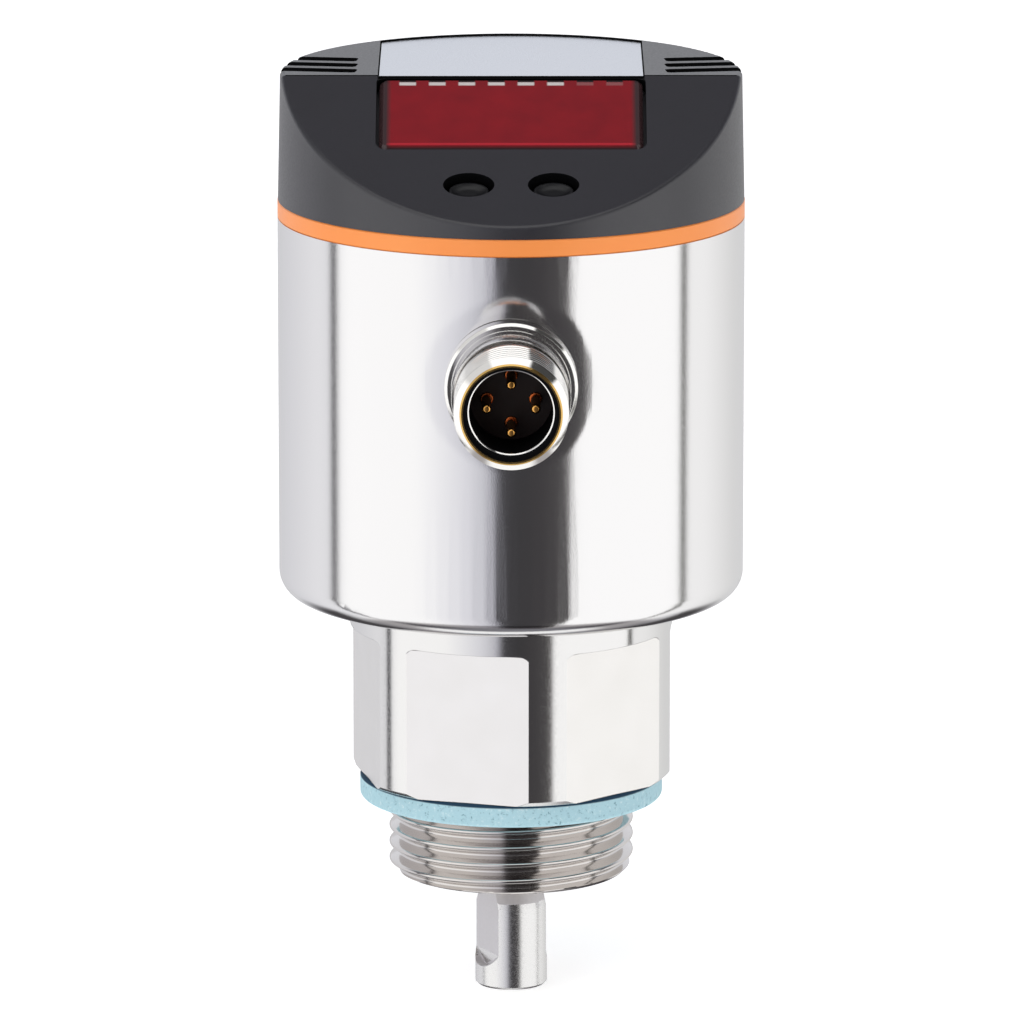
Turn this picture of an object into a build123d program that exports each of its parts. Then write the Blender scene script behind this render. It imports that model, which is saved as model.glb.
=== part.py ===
from build123d import *
import os
from math import cos, radians, sin, sqrt, tan

# Level sensor for a tank fitting. Millimetres, +Z up.
# The origin lies on the axis, in the plane where the sealing washer meets the tank's boss.
# The plug connector points to -Y, and the probe stub hangs below the thread.

# Pipe thread G 3/4 A, with the depth and crest of its own form
thread_radius = 13.22
thread_pitch = 1.814
thread_depth = 0.6403 * thread_pitch
thread_crest = thread_pitch / 6
thread_flank_angle = 27.5
thread_length = 8.3
thread_lead_in = 0.72
thread_above_washer_plane = 0.1
thread_first_groove_drop = 0.47

# Sealing washer
washer_clearance = 0.18
washer_width = 2.96
washer_thickness = 2.5
washer_edge_radius = 0.4

# Collar with six milled spanner flats
collar_height = 19.6
collar_chamfer = 0.5
collar_across_flats = 32.0
collar_flat_cut = 1.4
collar_flat_count = 6
collar_flat_height = 16.5
collar_flat_corner = 1.2
collar_flat_turn = 17.0
collar_flat_overcut = 0.3
under_collar_relief = 0.06

# Swivel neck and what holds the head on it
neck_radius = 11.0
neck_shoulder = 1.0
neck_upper_height = 4.25
neck_key_cut = 0.8
neck_chamfer = 0.4
running_clearance = 0.05
slide_washer_width = 4.9
slide_washer_thickness = 0.3
stop_ring_overhang = 1.4
stop_ring_thickness = 1.5
stop_lug_past_pin = 0.3
swivel_range = 345.0
stop_margin = 0.06
stop_pin_radius = 1.0
stop_pin_gap = 0.5
stop_pin_sunk = 2.0
stop_pin_height = 2.55
retaining_groove_depth = 0.6
retaining_ring_thickness = 1.1
retaining_ring_width = 2.55
retaining_ring_opening = 5.0
retaining_eye_radius = 1.1
retaining_eye_hole_radius = 0.5
neck_o_ring_section = 0.65
o_ring_squeeze_room = 0.05
o_ring_side_room = 0.2

# Probe feedthrough
feed_bore_radius = 5.5
feed_counterbore_radius = 7.5
feed_ledge_height = 6.0
insulator_flange_thickness = 3.0
clamp_thickness = 3.0
clamp_washer_room = 0.4
clamp_slot_width = 1.2
clamp_slot_depth = 1.0
probe_o_ring_section = 0.65

# Probe coupling stub, its spanner flats and the thread for the rod
stub_radius = 3.9
stub_end_drop = 21.3
stub_cone_bottom_drop = 12.4
stub_cone_top_drop = 9.85
stub_neck_step = 0.7
stub_neck_rise = 1.0
stub_edge = 0.25
stub_flat_cut = 1.0
stub_flat_end_drop = 19.0
stub_flat_turn = 62.5
rod_thread_radius = 2.1
rod_thread_depth = 9.0
rod_thread_mouth = 0.4
probe_shaft_radius = 2.5
probe_shaft_end_above_nut = 1.5
probe_washer_radius = 4.8
probe_washer_thickness = 1.0
probe_nut_across_flats = 8.0
probe_nut_height = 4.0

# Head housing
housing_radius = 25.0
housing_height = 41.15
housing_wall = 2.0
housing_ledge_width = 0.5
housing_floor = 3.0
housing_bottom_radius = 2.5
housing_inner_radius = 1.0

# Plug connector M12
connector_below_rim = 13.6
connector_length = 15.2
plug_thread_radius = 5.97
plug_thread_length = 6.85
plug_chamfer = 0.77
plug_relief_depth = 0.47
plug_relief_width = 0.7
plug_rim_width = 0.27
plug_mouth_depth = 1.2
plug_mouth_step = 0.58
shoulder_step = 0.28
connector_collar_step = 0.75
connector_collar_length = 2.0
connector_collar_edge = 0.3
spigot_step = 0.05
spigot_inside = 2.7
fixed_clearance = 0.05
saddle_clearance = 0.02

# Contact insert and pins
insert_recess = 8.3
insert_flange_width = 0.65
insert_flange_thickness = 1.5
insert_o_ring_section = 0.4
insert_o_ring_setback = 5.0
pin_count = 4
pin_radius = 0.5
pin_circle_radius = 2.55
pin_length = 5.4
pin_tip_radius = 0.25
pin_ring_radius = 0.72
pin_ring_depth = 0.3
pin_clearance = 0.02
pin_foot_radius = 0.8
pin_foot_thickness = 0.5
pin_tail_length = 2.0

# Trim ring and cap
trim_height = 1.9
trim_edge = 0.15
cap_step = 0.05
cap_draft = 0.3
cap_height = 13.7
cap_front_height = 1.3
cap_slope = 29.5
cap_wall = 2.2
cap_edge_radius = 0.5
cap_spigot_clearance = 0.1
cap_spigot_length = 6.0
cap_spigot_wall = 2.0
cap_o_ring_section = 0.5
cap_o_ring_height = 1.8

# Grooves beside the plate
groove_count = 3
groove_width = 2.3
groove_pitch = 3.6
groove_depth = 0.9
groove_middle_y = 3.3
groove_splay = 8.0
groove_from_plate = 2.45
groove_end_radius = 0.5

# Bare plate on the cap
plate_thickness = 0.25
plate_sunk = 0.2
plate_side_margin = 10.9
plate_rim_margin = 1.05
plate_from_crease = 0.7
plate_gap = 0.15

# Display window on the slope, measured from the crease down the slope
window_side_margin = 10.65
window_length = 12.35
window_from_crease = 0.05
window_corner = 1.2
window_seat_thickness = 0.5
window_gap = 0.35
window_sunk = 0.1
window_bevel = 0.4
ledge_side = 1.0
ledge_top = 0.4
ledge_bottom = 0.6

# Display board and what it carries, at depths below the slope
board_thickness = 1.2
board_side_room = 2.4
board_from_crease = 0.5
board_past_buttons = 3.0
board_wall_gap = 0.4
display_gap = 0.3
display_side_gap = 0.25
display_length = 8.8
display_from_crease = 2.4
led_count = 8
led_end_margin = 1.36
led_width = 1.8
led_length = 0.8
led_from_crease = 1.12
screw_side_room = 4.1
screw_from_crease = 9.0
screw_radius = 0.95
screw_head_radius = 1.8
screw_head_height = 1.4
screw_length = 3.4
screw_slot_width = 0.5
screw_slot_depth = 0.6
boss_radius = 2.2

# Buttons and their switches
button_x = 4.45
button_above_front = 6.98
button_half_width = 2.1
button_half_length = 1.35
button_gap = 0.6
button_sunk = 0.78
button_travel = 0.5
button_flange = 1.2
button_flange_thickness = 0.9
button_edge_radius = 0.12
dish_depth = 0.33
dish_rim = 0.25
switch_width = 4.6
switch_length = 3.4
switch_height = 1.6
switch_room = 0.15
plunger_radius = 0.9
plunger_length = 1.55
plunger_clearance = 0.1

# Board carrier and main board inside the housing
carrier_thickness = 2.0
carrier_clearance = 0.1
main_board_y = 6.0
main_board_thickness = 1.6
main_board_side_room = 6.2
main_board_shoulder = 1.2
main_board_above_neck = 3.2
main_board_rise = 3.0
lead_hole_radius = 5.0
lead_hole_y = -10.0

# Sizes that follow from the ones above
washer_inner_radius = thread_radius + washer_clearance
washer_outer_radius = washer_inner_radius + washer_width
under_collar_radius = thread_radius - thread_depth - under_collar_relief
collar_radius = collar_across_flats / 2 + collar_flat_cut
neck_upper_radius = neck_radius - neck_shoulder
neck_across_keys = 2 * (neck_upper_radius - neck_key_cut)
slide_washer_inner_radius = neck_radius + 2 * running_clearance
slide_washer_outer_radius = slide_washer_inner_radius + slide_washer_width
stop_ring_radius = neck_radius + stop_ring_overhang
stop_pin_circle_radius = stop_ring_radius + stop_pin_gap + stop_pin_radius
stop_lug_reach = stop_pin_circle_radius + stop_pin_radius + stop_lug_past_pin
retaining_groove_radius = neck_upper_radius - retaining_groove_depth
retaining_ring_radius = retaining_groove_radius + fixed_clearance + retaining_ring_width
clamp_bore_radius = probe_washer_radius + clamp_washer_room
stub_neck_radius = stub_radius - stub_neck_step
stub_across_flats = 2 * (stub_radius - stub_flat_cut)

plug_rim_radius = plug_thread_radius - plug_chamfer
plug_relief_radius = plug_thread_radius - plug_relief_depth
plug_mouth_radius = plug_rim_radius - plug_rim_width
plug_bore_radius = plug_mouth_radius - plug_mouth_step
shoulder_radius = plug_thread_radius + shoulder_step
spigot_radius = shoulder_radius + spigot_step
connector_collar_radius = shoulder_radius + connector_collar_step
insert_flange_radius = plug_bore_radius + insert_flange_width

# Levels and planes worked out from the sizes above
collar_bottom_z = washer_thickness
collar_top_z = collar_bottom_z + collar_height
head_bottom_z = collar_top_z + slide_washer_thickness + running_clearance
floor_top_z = head_bottom_z + housing_floor
stop_ring_z = floor_top_z + 2 * running_clearance
retaining_ring_z = stop_ring_z + stop_ring_thickness
neck_top_z = stop_ring_z + neck_upper_height
feed_flange_z = feed_ledge_height
insulator_top_z = feed_flange_z + insulator_flange_thickness
insulator_seat_z = stub_neck_rise - thread_length
washer_top_z = insulator_top_z + probe_washer_thickness
nut_top_z = washer_top_z + probe_nut_height

housing_bore_radius = housing_radius - housing_wall
housing_rim_radius = housing_bore_radius + housing_ledge_width
housing_top_z = head_bottom_z + housing_height
cap_bottom_z = housing_top_z + trim_height
cap_top_z = cap_bottom_z + cap_height
spigot_end_z = cap_bottom_z - cap_spigot_length
cap_spigot_radius = housing_rim_radius - cap_spigot_clearance
cap_spigot_bore_radius = cap_spigot_radius - cap_spigot_wall
carrier_bottom_z = spigot_end_z - carrier_thickness

connector_z = housing_top_z - connector_below_rim
rim_y = -housing_radius - connector_length
insert_face_y = rim_y + insert_recess
connector_rear_y = -housing_bore_radius + spigot_inside
pin_tip_y = insert_face_y - pin_length
connector_axis = Axis((0, 0, connector_z), (0, 1, 0))

cap_radius = housing_radius - cap_step
cap_top_radius = cap_radius - cap_draft
slope_length = (cap_height - cap_front_height) / sin(radians(cap_slope))
crease_y = -cap_radius + (cap_height - cap_front_height) / tan(radians(cap_slope))
slope_plane = Plane(
    origin=(0, crease_y, cap_top_z),
    x_dir=(1, 0, 0),
    z_dir=(0, -sin(radians(cap_slope)), cos(radians(cap_slope))),
)
slope_axis = Axis(slope_plane.origin, slope_plane.z_dir)

# Layout of the window, the plate and the display board on the cap
window_width = 2 * (cap_radius - window_side_margin)
window_pocket_depth = cap_wall - window_seat_thickness
opening_width = window_width - 2 * ledge_side
plate_width = 2 * (cap_radius - plate_side_margin)
plate_arc_radius = cap_radius - plate_rim_margin
plate_pocket_depth = plate_thickness + plate_sunk
groove_inner_x = plate_width / 2 + groove_from_plate
button_from_crease = slope_length - button_above_front
board_depth = (
    cap_wall
    + running_clearance
    + button_flange_thickness
    + button_travel
    + switch_room
    + switch_height
)
board_half_width = cap_spigot_bore_radius - board_side_room
board_length = button_from_crease + board_past_buttons - board_from_crease
display_width = opening_width - 2 * display_side_gap
led_pitch = (opening_width - 2 * led_end_margin - led_width) / (led_count - 1)
screw_x = cap_spigot_bore_radius - screw_side_room
main_board_half_width = housing_bore_radius - main_board_side_room
main_board_shoulder_half_width = main_board_half_width + main_board_shoulder
main_board_drop = spigot_end_z - neck_top_z - main_board_above_neck


def slope_at(depth):
    # The slope's own plane, moved straight into the cap
    return slope_plane.offset(-depth)


def turn_outline(points, mode=Mode.ADD):
    # Points are (radius, height) pairs, turned about the upright axis
    with BuildSketch(Plane.XZ) as outline:
        with BuildLine():
            Polyline(*points, close=True)
        make_face()
    revolve(outline.sketch, axis=Axis.Z, mode=mode)


def turn_about_connector(points, mode=Mode.ADD):
    # Points are (y, radius) pairs, turned about the connector's axis
    with BuildSketch(Plane.YZ) as outline:
        with BuildLine():
            Polyline(*[(y, connector_z + radius) for y, radius in points], close=True)
        make_face()
    revolve(outline.sketch, axis=connector_axis, mode=mode)


def o_ring(center_radius, section_radius, height):
    with BuildPart() as ring:
        with BuildSketch(Plane.XZ):
            with Locations((center_radius, height)):
                Circle(section_radius)
        revolve(axis=Axis.Z)
    return ring.part


def write(part, name):
    part.label = name
    export_step(part, f"parts/{name}.step")


os.makedirs("parts", exist_ok=True)

# Process connection: thread, collar with flats and swivel neck in one turned piece
neck_groove_floor = neck_radius - 2 * neck_o_ring_section - o_ring_squeeze_room
neck_groove_half_width = neck_o_ring_section + o_ring_side_room
neck_o_ring_z = (head_bottom_z + floor_top_z) / 2
retaining_groove_top_z = retaining_ring_z + retaining_ring_thickness + fixed_clearance

with BuildPart() as process_connection:
    turn_outline(
        [
            (feed_bore_radius, -thread_length),
            (thread_radius - thread_lead_in, -thread_length),
            (thread_radius, -thread_length + thread_lead_in),
            (thread_radius, thread_above_washer_plane),
            (under_collar_radius, thread_above_washer_plane),
            (under_collar_radius, collar_bottom_z),
            (collar_radius - collar_chamfer, collar_bottom_z),
            (collar_radius, collar_bottom_z + collar_chamfer),
            (collar_radius, collar_top_z),
            (neck_radius, collar_top_z),
            (neck_radius, neck_o_ring_z - neck_groove_half_width),
            (neck_groove_floor, neck_o_ring_z - neck_groove_half_width),
            (neck_groove_floor, neck_o_ring_z + neck_groove_half_width),
            (neck_radius, neck_o_ring_z + neck_groove_half_width),
            (neck_radius, stop_ring_z),
            (neck_upper_radius, stop_ring_z),
            (neck_upper_radius, retaining_ring_z),
            (retaining_groove_radius, retaining_ring_z),
            (retaining_groove_radius, retaining_groove_top_z),
            (neck_upper_radius, retaining_groove_top_z),
            (neck_upper_radius, neck_top_z - neck_chamfer),
            (neck_upper_radius - neck_chamfer, neck_top_z),
            (feed_counterbore_radius, neck_top_z),
            (feed_counterbore_radius, feed_flange_z),
            (feed_bore_radius, feed_flange_z),
        ]
    )
    # Thread grooves, from the crest under the washer down to the lead-in
    groove_mouth = thread_pitch - thread_crest
    groove_side = thread_depth * tan(radians(thread_flank_angle))
    grooved_length = thread_length - thread_lead_in - thread_first_groove_drop
    thread_turns = int((grooved_length + thread_crest) / thread_pitch)
    with BuildSketch(Plane.XZ) as thread_grooves:
        for turn in range(thread_turns):
            top = -thread_first_groove_drop - turn * thread_pitch
            with BuildLine():
                Polyline(
                    (thread_radius, top),
                    (thread_radius - thread_depth, top - groove_side),
                    (thread_radius - thread_depth, top - groove_mouth + groove_side),
                    (thread_radius, top - groove_mouth),
                    close=True,
                )
            make_face()
    revolve(axis=Axis.Z, mode=Mode.SUBTRACT)
    # Milled spanner flats, closed by a ledge above with rounded corners
    flat_distance = collar_across_flats / 2
    flat_chord = 2 * sqrt(collar_radius**2 - flat_distance**2)
    for index in range(collar_flat_count):
        facing = radians(-90 - collar_flat_turn + index * 360 / collar_flat_count)
        outward = (cos(facing), sin(facing), 0)
        flat_plane = Plane(
            origin=(flat_distance * outward[0], flat_distance * outward[1], collar_bottom_z),
            x_dir=(-sin(facing), cos(facing), 0),
            z_dir=outward,
        )
        with BuildSketch(flat_plane) as flat_face:
            RectangleRounded(
                flat_chord + 2 * collar_flat_overcut,
                2 * collar_flat_height,
                collar_flat_corner + collar_flat_overcut,
            )
        extrude(amount=collar_radius, mode=Mode.SUBTRACT)
    # Key flats on the upper neck
    for side in (-1, 1):
        with BuildSketch(Plane.XY.offset(stop_ring_z)) as key_flat:
            with Locations((side * (neck_across_keys / 2 + neck_radius / 2), 0)):
                Rectangle(neck_radius, 3 * neck_radius)
        extrude(amount=neck_upper_height, mode=Mode.SUBTRACT)
write(process_connection.part, "process_connection")

# Sealing washer
with BuildPart() as sealing_washer:
    turn_outline(
        [
            (washer_inner_radius, 0),
            (washer_outer_radius, 0),
            (washer_outer_radius, washer_thickness),
            (washer_inner_radius, washer_thickness),
        ]
    )
    outer_edges = sealing_washer.edges().filter_by(GeomType.CIRCLE).sort_by(SortBy.RADIUS)[-2:]
    fillet(outer_edges, radius=washer_edge_radius)
write(sealing_washer.part, "sealing_washer")

# Probe coupling: stub with the rod's thread, neck and clamped shaft
with BuildPart() as probe_coupling:
    turn_outline(
        [
            (0, -stub_end_drop),
            (stub_radius - stub_edge, -stub_end_drop),
            (stub_radius, -stub_end_drop + stub_edge),
            (stub_radius, -stub_cone_bottom_drop),
            (stub_neck_radius, -stub_cone_top_drop),
            (stub_neck_radius, insulator_seat_z),
            (probe_shaft_radius, insulator_seat_z),
            (probe_shaft_radius, nut_top_z + probe_shaft_end_above_nut - stub_edge),
            (probe_shaft_radius - stub_edge, nut_top_z + probe_shaft_end_above_nut),
            (0, nut_top_z + probe_shaft_end_above_nut),
        ]
    )
    turn_outline(
        [
            (0, -stub_end_drop),
            (rod_thread_radius + rod_thread_mouth, -stub_end_drop),
            (rod_thread_radius, -stub_end_drop + rod_thread_mouth),
            (rod_thread_radius, -stub_end_drop + rod_thread_depth),
            (0, -stub_end_drop + rod_thread_depth + rod_thread_radius / 2),
        ],
        mode=Mode.SUBTRACT,
    )
    # Two milled flats, rounded at their lower end
    stub_flat_distance = stub_across_flats / 2
    stub_flat_chord = 2 * sqrt(stub_radius**2 - stub_flat_distance**2)
    stub_flat_rise = stub_flat_end_drop - thread_length
    for half_turn in (0, 180):
        facing = radians(-90 - stub_flat_turn + half_turn)
        outward = (cos(facing), sin(facing), 0)
        stub_flat_plane = Plane(
            origin=(
                stub_flat_distance * outward[0],
                stub_flat_distance * outward[1],
                -thread_length,
            ),
            x_dir=(-sin(facing), cos(facing), 0),
            z_dir=outward,
        )
        with BuildSketch(stub_flat_plane) as stub_flat:
            RectangleRounded(1.1 * stub_flat_chord, 2 * stub_flat_rise, 0.5 * stub_flat_chord)
        extrude(amount=stub_radius, mode=Mode.SUBTRACT)
write(probe_coupling.part, "probe_coupling")

# Insulating bush round the shaft
insulator_radius = feed_bore_radius - fixed_clearance
probe_groove_floor = insulator_radius - 2 * probe_o_ring_section
probe_groove_half_width = probe_o_ring_section + o_ring_side_room
with BuildPart() as probe_insulator:
    turn_outline(
        [
            (stub_neck_radius + fixed_clearance, -thread_length),
            (insulator_radius, -thread_length),
            (insulator_radius, -probe_groove_half_width),
            (probe_groove_floor, -probe_groove_half_width),
            (probe_groove_floor, probe_groove_half_width),
            (insulator_radius, probe_groove_half_width),
            (insulator_radius, feed_flange_z),
            (feed_counterbore_radius - fixed_clearance, feed_flange_z),
            (feed_counterbore_radius - fixed_clearance, insulator_top_z),
            (probe_shaft_radius + fixed_clearance, insulator_top_z),
            (probe_shaft_radius + fixed_clearance, insulator_seat_z),
            (stub_neck_radius + fixed_clearance, insulator_seat_z),
        ]
    )
write(probe_insulator.part, "probe_insulator")

write(
    o_ring(probe_groove_floor + probe_o_ring_section + fixed_clearance / 2, probe_o_ring_section, 0),
    "probe_o_ring",
)

# Threaded ring that holds the bush down, with two spanner slots
with BuildPart() as insulator_clamp:
    turn_outline(
        [
            (clamp_bore_radius, insulator_top_z),
            (feed_counterbore_radius - fixed_clearance, insulator_top_z),
            (feed_counterbore_radius - fixed_clearance, insulator_top_z + clamp_thickness),
            (clamp_bore_radius, insulator_top_z + clamp_thickness),
        ]
    )
    with BuildSketch(Plane.XY.offset(insulator_top_z + clamp_thickness)) as clamp_slot:
        Rectangle(3 * feed_counterbore_radius, clamp_slot_width)
    extrude(amount=-clamp_slot_depth, mode=Mode.SUBTRACT)
write(insulator_clamp.part, "insulator_clamp")

with BuildPart() as probe_washer:
    with BuildSketch(Plane.XY.offset(insulator_top_z)):
        Circle(probe_washer_radius)
        Circle(probe_shaft_radius + 2 * fixed_clearance, mode=Mode.SUBTRACT)
    extrude(amount=probe_washer_thickness)
write(probe_washer.part, "probe_washer")

with BuildPart() as probe_nut:
    with BuildSketch(Plane.XY.offset(washer_top_z)):
        RegularPolygon(probe_nut_across_flats / 2, 6, major_radius=False)
        Circle(probe_shaft_radius + fixed_clearance, mode=Mode.SUBTRACT)
    extrude(amount=probe_nut_height)
write(probe_nut.part, "probe_nut")

# Swivel: seal, slide washer, keyed stop ring and retaining ring
write(
    o_ring(neck_groove_floor + neck_o_ring_section, neck_o_ring_section, neck_o_ring_z),
    "neck_o_ring",
)

with BuildPart() as slide_washer:
    with BuildSketch(Plane.XY.offset(collar_top_z)):
        Circle(slide_washer_outer_radius)
        Circle(slide_washer_inner_radius, mode=Mode.SUBTRACT)
    extrude(amount=slide_washer_thickness)
write(slide_washer.part, "slide_washer")

# At each end of the swivel the pin meets the lug's straight side
stop_angle = (360 - swivel_range) / 2
stop_lug_half_width = stop_pin_circle_radius * sin(radians(stop_angle)) - stop_pin_radius - stop_margin
with BuildPart() as stop_ring:
    with BuildSketch(Plane.XY.offset(stop_ring_z)):
        Circle(stop_ring_radius)
        with Locations((0, (neck_radius + stop_lug_reach) / 2)):
            Rectangle(2 * stop_lug_half_width, stop_lug_reach - neck_radius)
    extrude(amount=stop_ring_thickness)
    with BuildSketch(Plane.XY.offset(stop_ring_z)) as keyed_bore:
        Circle(neck_upper_radius + fixed_clearance)
        Rectangle(neck_across_keys + 2 * fixed_clearance, 3 * neck_radius, mode=Mode.INTERSECT)
    extrude(amount=stop_ring_thickness, mode=Mode.SUBTRACT)
write(stop_ring.part, "stop_ring")

with BuildPart() as retaining_ring:
    eye_x = retaining_ring_opening / 2 + retaining_eye_radius
    eye_y = -sqrt((retaining_ring_radius - retaining_eye_radius / 2) ** 2 - eye_x**2)
    with BuildSketch(Plane.XY.offset(retaining_ring_z)):
        Circle(retaining_ring_radius)
        Circle(retaining_groove_radius + fixed_clearance, mode=Mode.SUBTRACT)
        with Locations((-eye_x, eye_y), (eye_x, eye_y)):
            Circle(retaining_eye_radius)
        with Locations((0, -retaining_ring_radius)):
            Rectangle(retaining_ring_opening, retaining_ring_radius, mode=Mode.SUBTRACT)
        with Locations((-eye_x, eye_y), (eye_x, eye_y)):
            Circle(retaining_eye_hole_radius, mode=Mode.SUBTRACT)
    extrude(amount=retaining_ring_thickness)
write(retaining_ring.part, "retaining_ring")

# Housing cup, with the bore on the neck, the ledge for the board carrier and the connector's hole
with BuildPart() as housing:
    turn_outline(
        [
            (neck_radius + running_clearance, head_bottom_z),
            (housing_radius, head_bottom_z),
            (housing_radius, housing_top_z),
            (housing_rim_radius, housing_top_z),
            (housing_rim_radius, carrier_bottom_z),
            (housing_bore_radius, carrier_bottom_z),
            (housing_bore_radius, floor_top_z),
            (neck_radius + running_clearance, floor_top_z),
        ]
    )
    bottom_edges = housing.edges().filter_by(GeomType.CIRCLE).group_by(Axis.Z)[0]
    fillet(bottom_edges.sort_by(SortBy.RADIUS)[-1], radius=housing_bottom_radius)
    floor_edges = housing.edges().filter_by(GeomType.CIRCLE).filter_by_position(
        Axis.Z, floor_top_z - 0.01, floor_top_z + 0.01
    )
    fillet(floor_edges.sort_by(SortBy.RADIUS)[-1], radius=housing_inner_radius)
    with BuildSketch(Plane.XZ.offset(housing_bore_radius / 2)) as connector_hole:
        with Locations((0, connector_z)):
            Circle(spigot_radius + fixed_clearance)
    extrude(amount=housing_radius, mode=Mode.SUBTRACT)
    with BuildSketch(Plane.XY.offset(floor_top_z)) as stop_hole:
        with Locations((0, -stop_pin_circle_radius)):
            Circle(stop_pin_radius + pin_clearance)
    extrude(amount=-stop_pin_sunk, mode=Mode.SUBTRACT)
write(housing.part, "housing")

with BuildPart() as stop_pin:
    with BuildSketch(Plane.XY.offset(floor_top_z - stop_pin_sunk)):
        with Locations((0, -stop_pin_circle_radius)):
            Circle(stop_pin_radius)
    extrude(amount=stop_pin_sunk + stop_pin_height)
write(stop_pin.part, "stop_pin")

# Connector body: threaded plug end, shoulder, collar saddled on the housing, spigot through the wall
thread_start_y = rim_y + plug_chamfer
thread_end_y = thread_start_y + plug_thread_length
shoulder_y = thread_end_y + plug_relief_width
collar_face_y = -housing_radius - connector_collar_length
insert_bore_radius = insert_flange_radius + fixed_clearance
with BuildPart() as housing_outside:
    with BuildSketch():
        Circle(housing_radius + saddle_clearance)
    extrude(amount=housing_top_z)
with BuildPart() as connector_body:
    turn_about_connector(
        [
            (rim_y, plug_mouth_radius),
            (rim_y, plug_rim_radius),
            (thread_start_y, plug_thread_radius),
            (thread_end_y, plug_thread_radius),
            (thread_end_y, plug_relief_radius),
            (shoulder_y, plug_relief_radius),
            (shoulder_y, shoulder_radius),
            (collar_face_y, shoulder_radius),
            (collar_face_y, connector_collar_radius - connector_collar_edge),
            (collar_face_y + connector_collar_edge, connector_collar_radius),
            (-housing_bore_radius, connector_collar_radius),
            (-housing_bore_radius, plug_mouth_radius),
        ]
    )
    add(housing_outside.part, mode=Mode.SUBTRACT)
    turn_about_connector(
        [
            (collar_face_y, plug_mouth_radius),
            (collar_face_y, spigot_radius),
            (connector_rear_y, spigot_radius),
            (connector_rear_y, plug_mouth_radius),
        ]
    )
    turn_about_connector(
        [
            (rim_y + plug_mouth_depth, plug_bore_radius),
            (rim_y + plug_mouth_depth, (plug_thread_radius + plug_mouth_radius) / 2),
            (collar_face_y, (plug_thread_radius + plug_mouth_radius) / 2),
            (connector_rear_y - insert_flange_thickness, (spigot_radius + plug_mouth_radius) / 2),
            (connector_rear_y - insert_flange_thickness, plug_bore_radius),
        ]
    )
    turn_about_connector(
        [
            (connector_rear_y - insert_flange_thickness, 0),
            (connector_rear_y - insert_flange_thickness, insert_bore_radius),
            (connector_rear_y, insert_bore_radius),
            (connector_rear_y, 0),
        ],
        mode=Mode.SUBTRACT,
    )
write(connector_body.part, "connector_body")

# Contact insert with its flange, seal groove and the rings round the pins
insert_radius = plug_bore_radius - fixed_clearance
insert_groove_y = insert_face_y + insert_o_ring_setback
insert_groove_floor = insert_radius - 2 * insert_o_ring_section
insert_groove_half_width = insert_o_ring_section + o_ring_side_room
with BuildPart() as connector_insert:
    turn_about_connector(
        [
            (insert_face_y, 0),
            (insert_face_y, insert_radius),
            (insert_groove_y - insert_groove_half_width, insert_radius),
            (insert_groove_y - insert_groove_half_width, insert_groove_floor),
            (insert_groove_y + insert_groove_half_width, insert_groove_floor),
            (insert_groove_y + insert_groove_half_width, insert_radius),
            (connector_rear_y - insert_flange_thickness, insert_radius),
            (connector_rear_y - insert_flange_thickness, insert_flange_radius),
            (connector_rear_y, insert_flange_radius),
            (connector_rear_y, 0),
        ]
    )
    with BuildSketch(Plane.XZ.offset(-insert_face_y)) as pin_rings:
        with Locations((0, connector_z)):
            with PolarLocations(pin_circle_radius, pin_count):
                Circle(pin_ring_radius)
    extrude(amount=-pin_ring_depth, mode=Mode.SUBTRACT)
    with BuildSketch(Plane.XZ.offset(-insert_face_y)) as pin_holes:
        with Locations((0, connector_z)):
            with PolarLocations(pin_circle_radius, pin_count):
                Circle(pin_radius + pin_clearance)
    extrude(amount=insert_face_y - connector_rear_y, mode=Mode.SUBTRACT)
write(connector_insert.part, "connector_insert")

with BuildPart() as insert_o_ring:
    with BuildSketch(Plane.YZ):
        with Locations((insert_groove_y, connector_z + insert_radius - insert_o_ring_section)):
            Circle(insert_o_ring_section)
    revolve(axis=connector_axis)
write(insert_o_ring.part, "insert_o_ring")

for index in range(pin_count):
    pin_angle = radians(index * 360 / pin_count)
    pin_plane = Plane(
        origin=(
            pin_circle_radius * cos(pin_angle),
            pin_tip_y,
            connector_z + pin_circle_radius * sin(pin_angle),
        ),
        x_dir=(1, 0, 0),
        z_dir=(0, 1, 0),
    )
    foot_plane = pin_plane.offset(connector_rear_y - pin_tip_y)
    with BuildPart() as contact_pin:
        with BuildSketch(pin_plane):
            Circle(pin_radius)
        extrude(amount=connector_rear_y - pin_tip_y + pin_tail_length)
        tip_edge = contact_pin.edges().filter_by(GeomType.CIRCLE).sort_by(Axis.Y)[0]
        fillet(tip_edge, radius=pin_tip_radius)
        with BuildSketch(foot_plane):
            Circle(pin_foot_radius)
        extrude(amount=pin_foot_thickness)
    write(contact_pin.part, f"contact_pin_{index + 1}")

# Trim ring between housing and cap
with BuildPart() as trim_ring:
    turn_outline(
        [
            (cap_spigot_radius + fixed_clearance, housing_top_z),
            (housing_radius - trim_edge, housing_top_z),
            (housing_radius, housing_top_z + trim_edge),
            (housing_radius, cap_bottom_z - trim_edge),
            (housing_radius - trim_edge, cap_bottom_z),
            (cap_spigot_radius + fixed_clearance, cap_bottom_z),
        ]
    )
write(trim_ring.part, "trim_ring")

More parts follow.
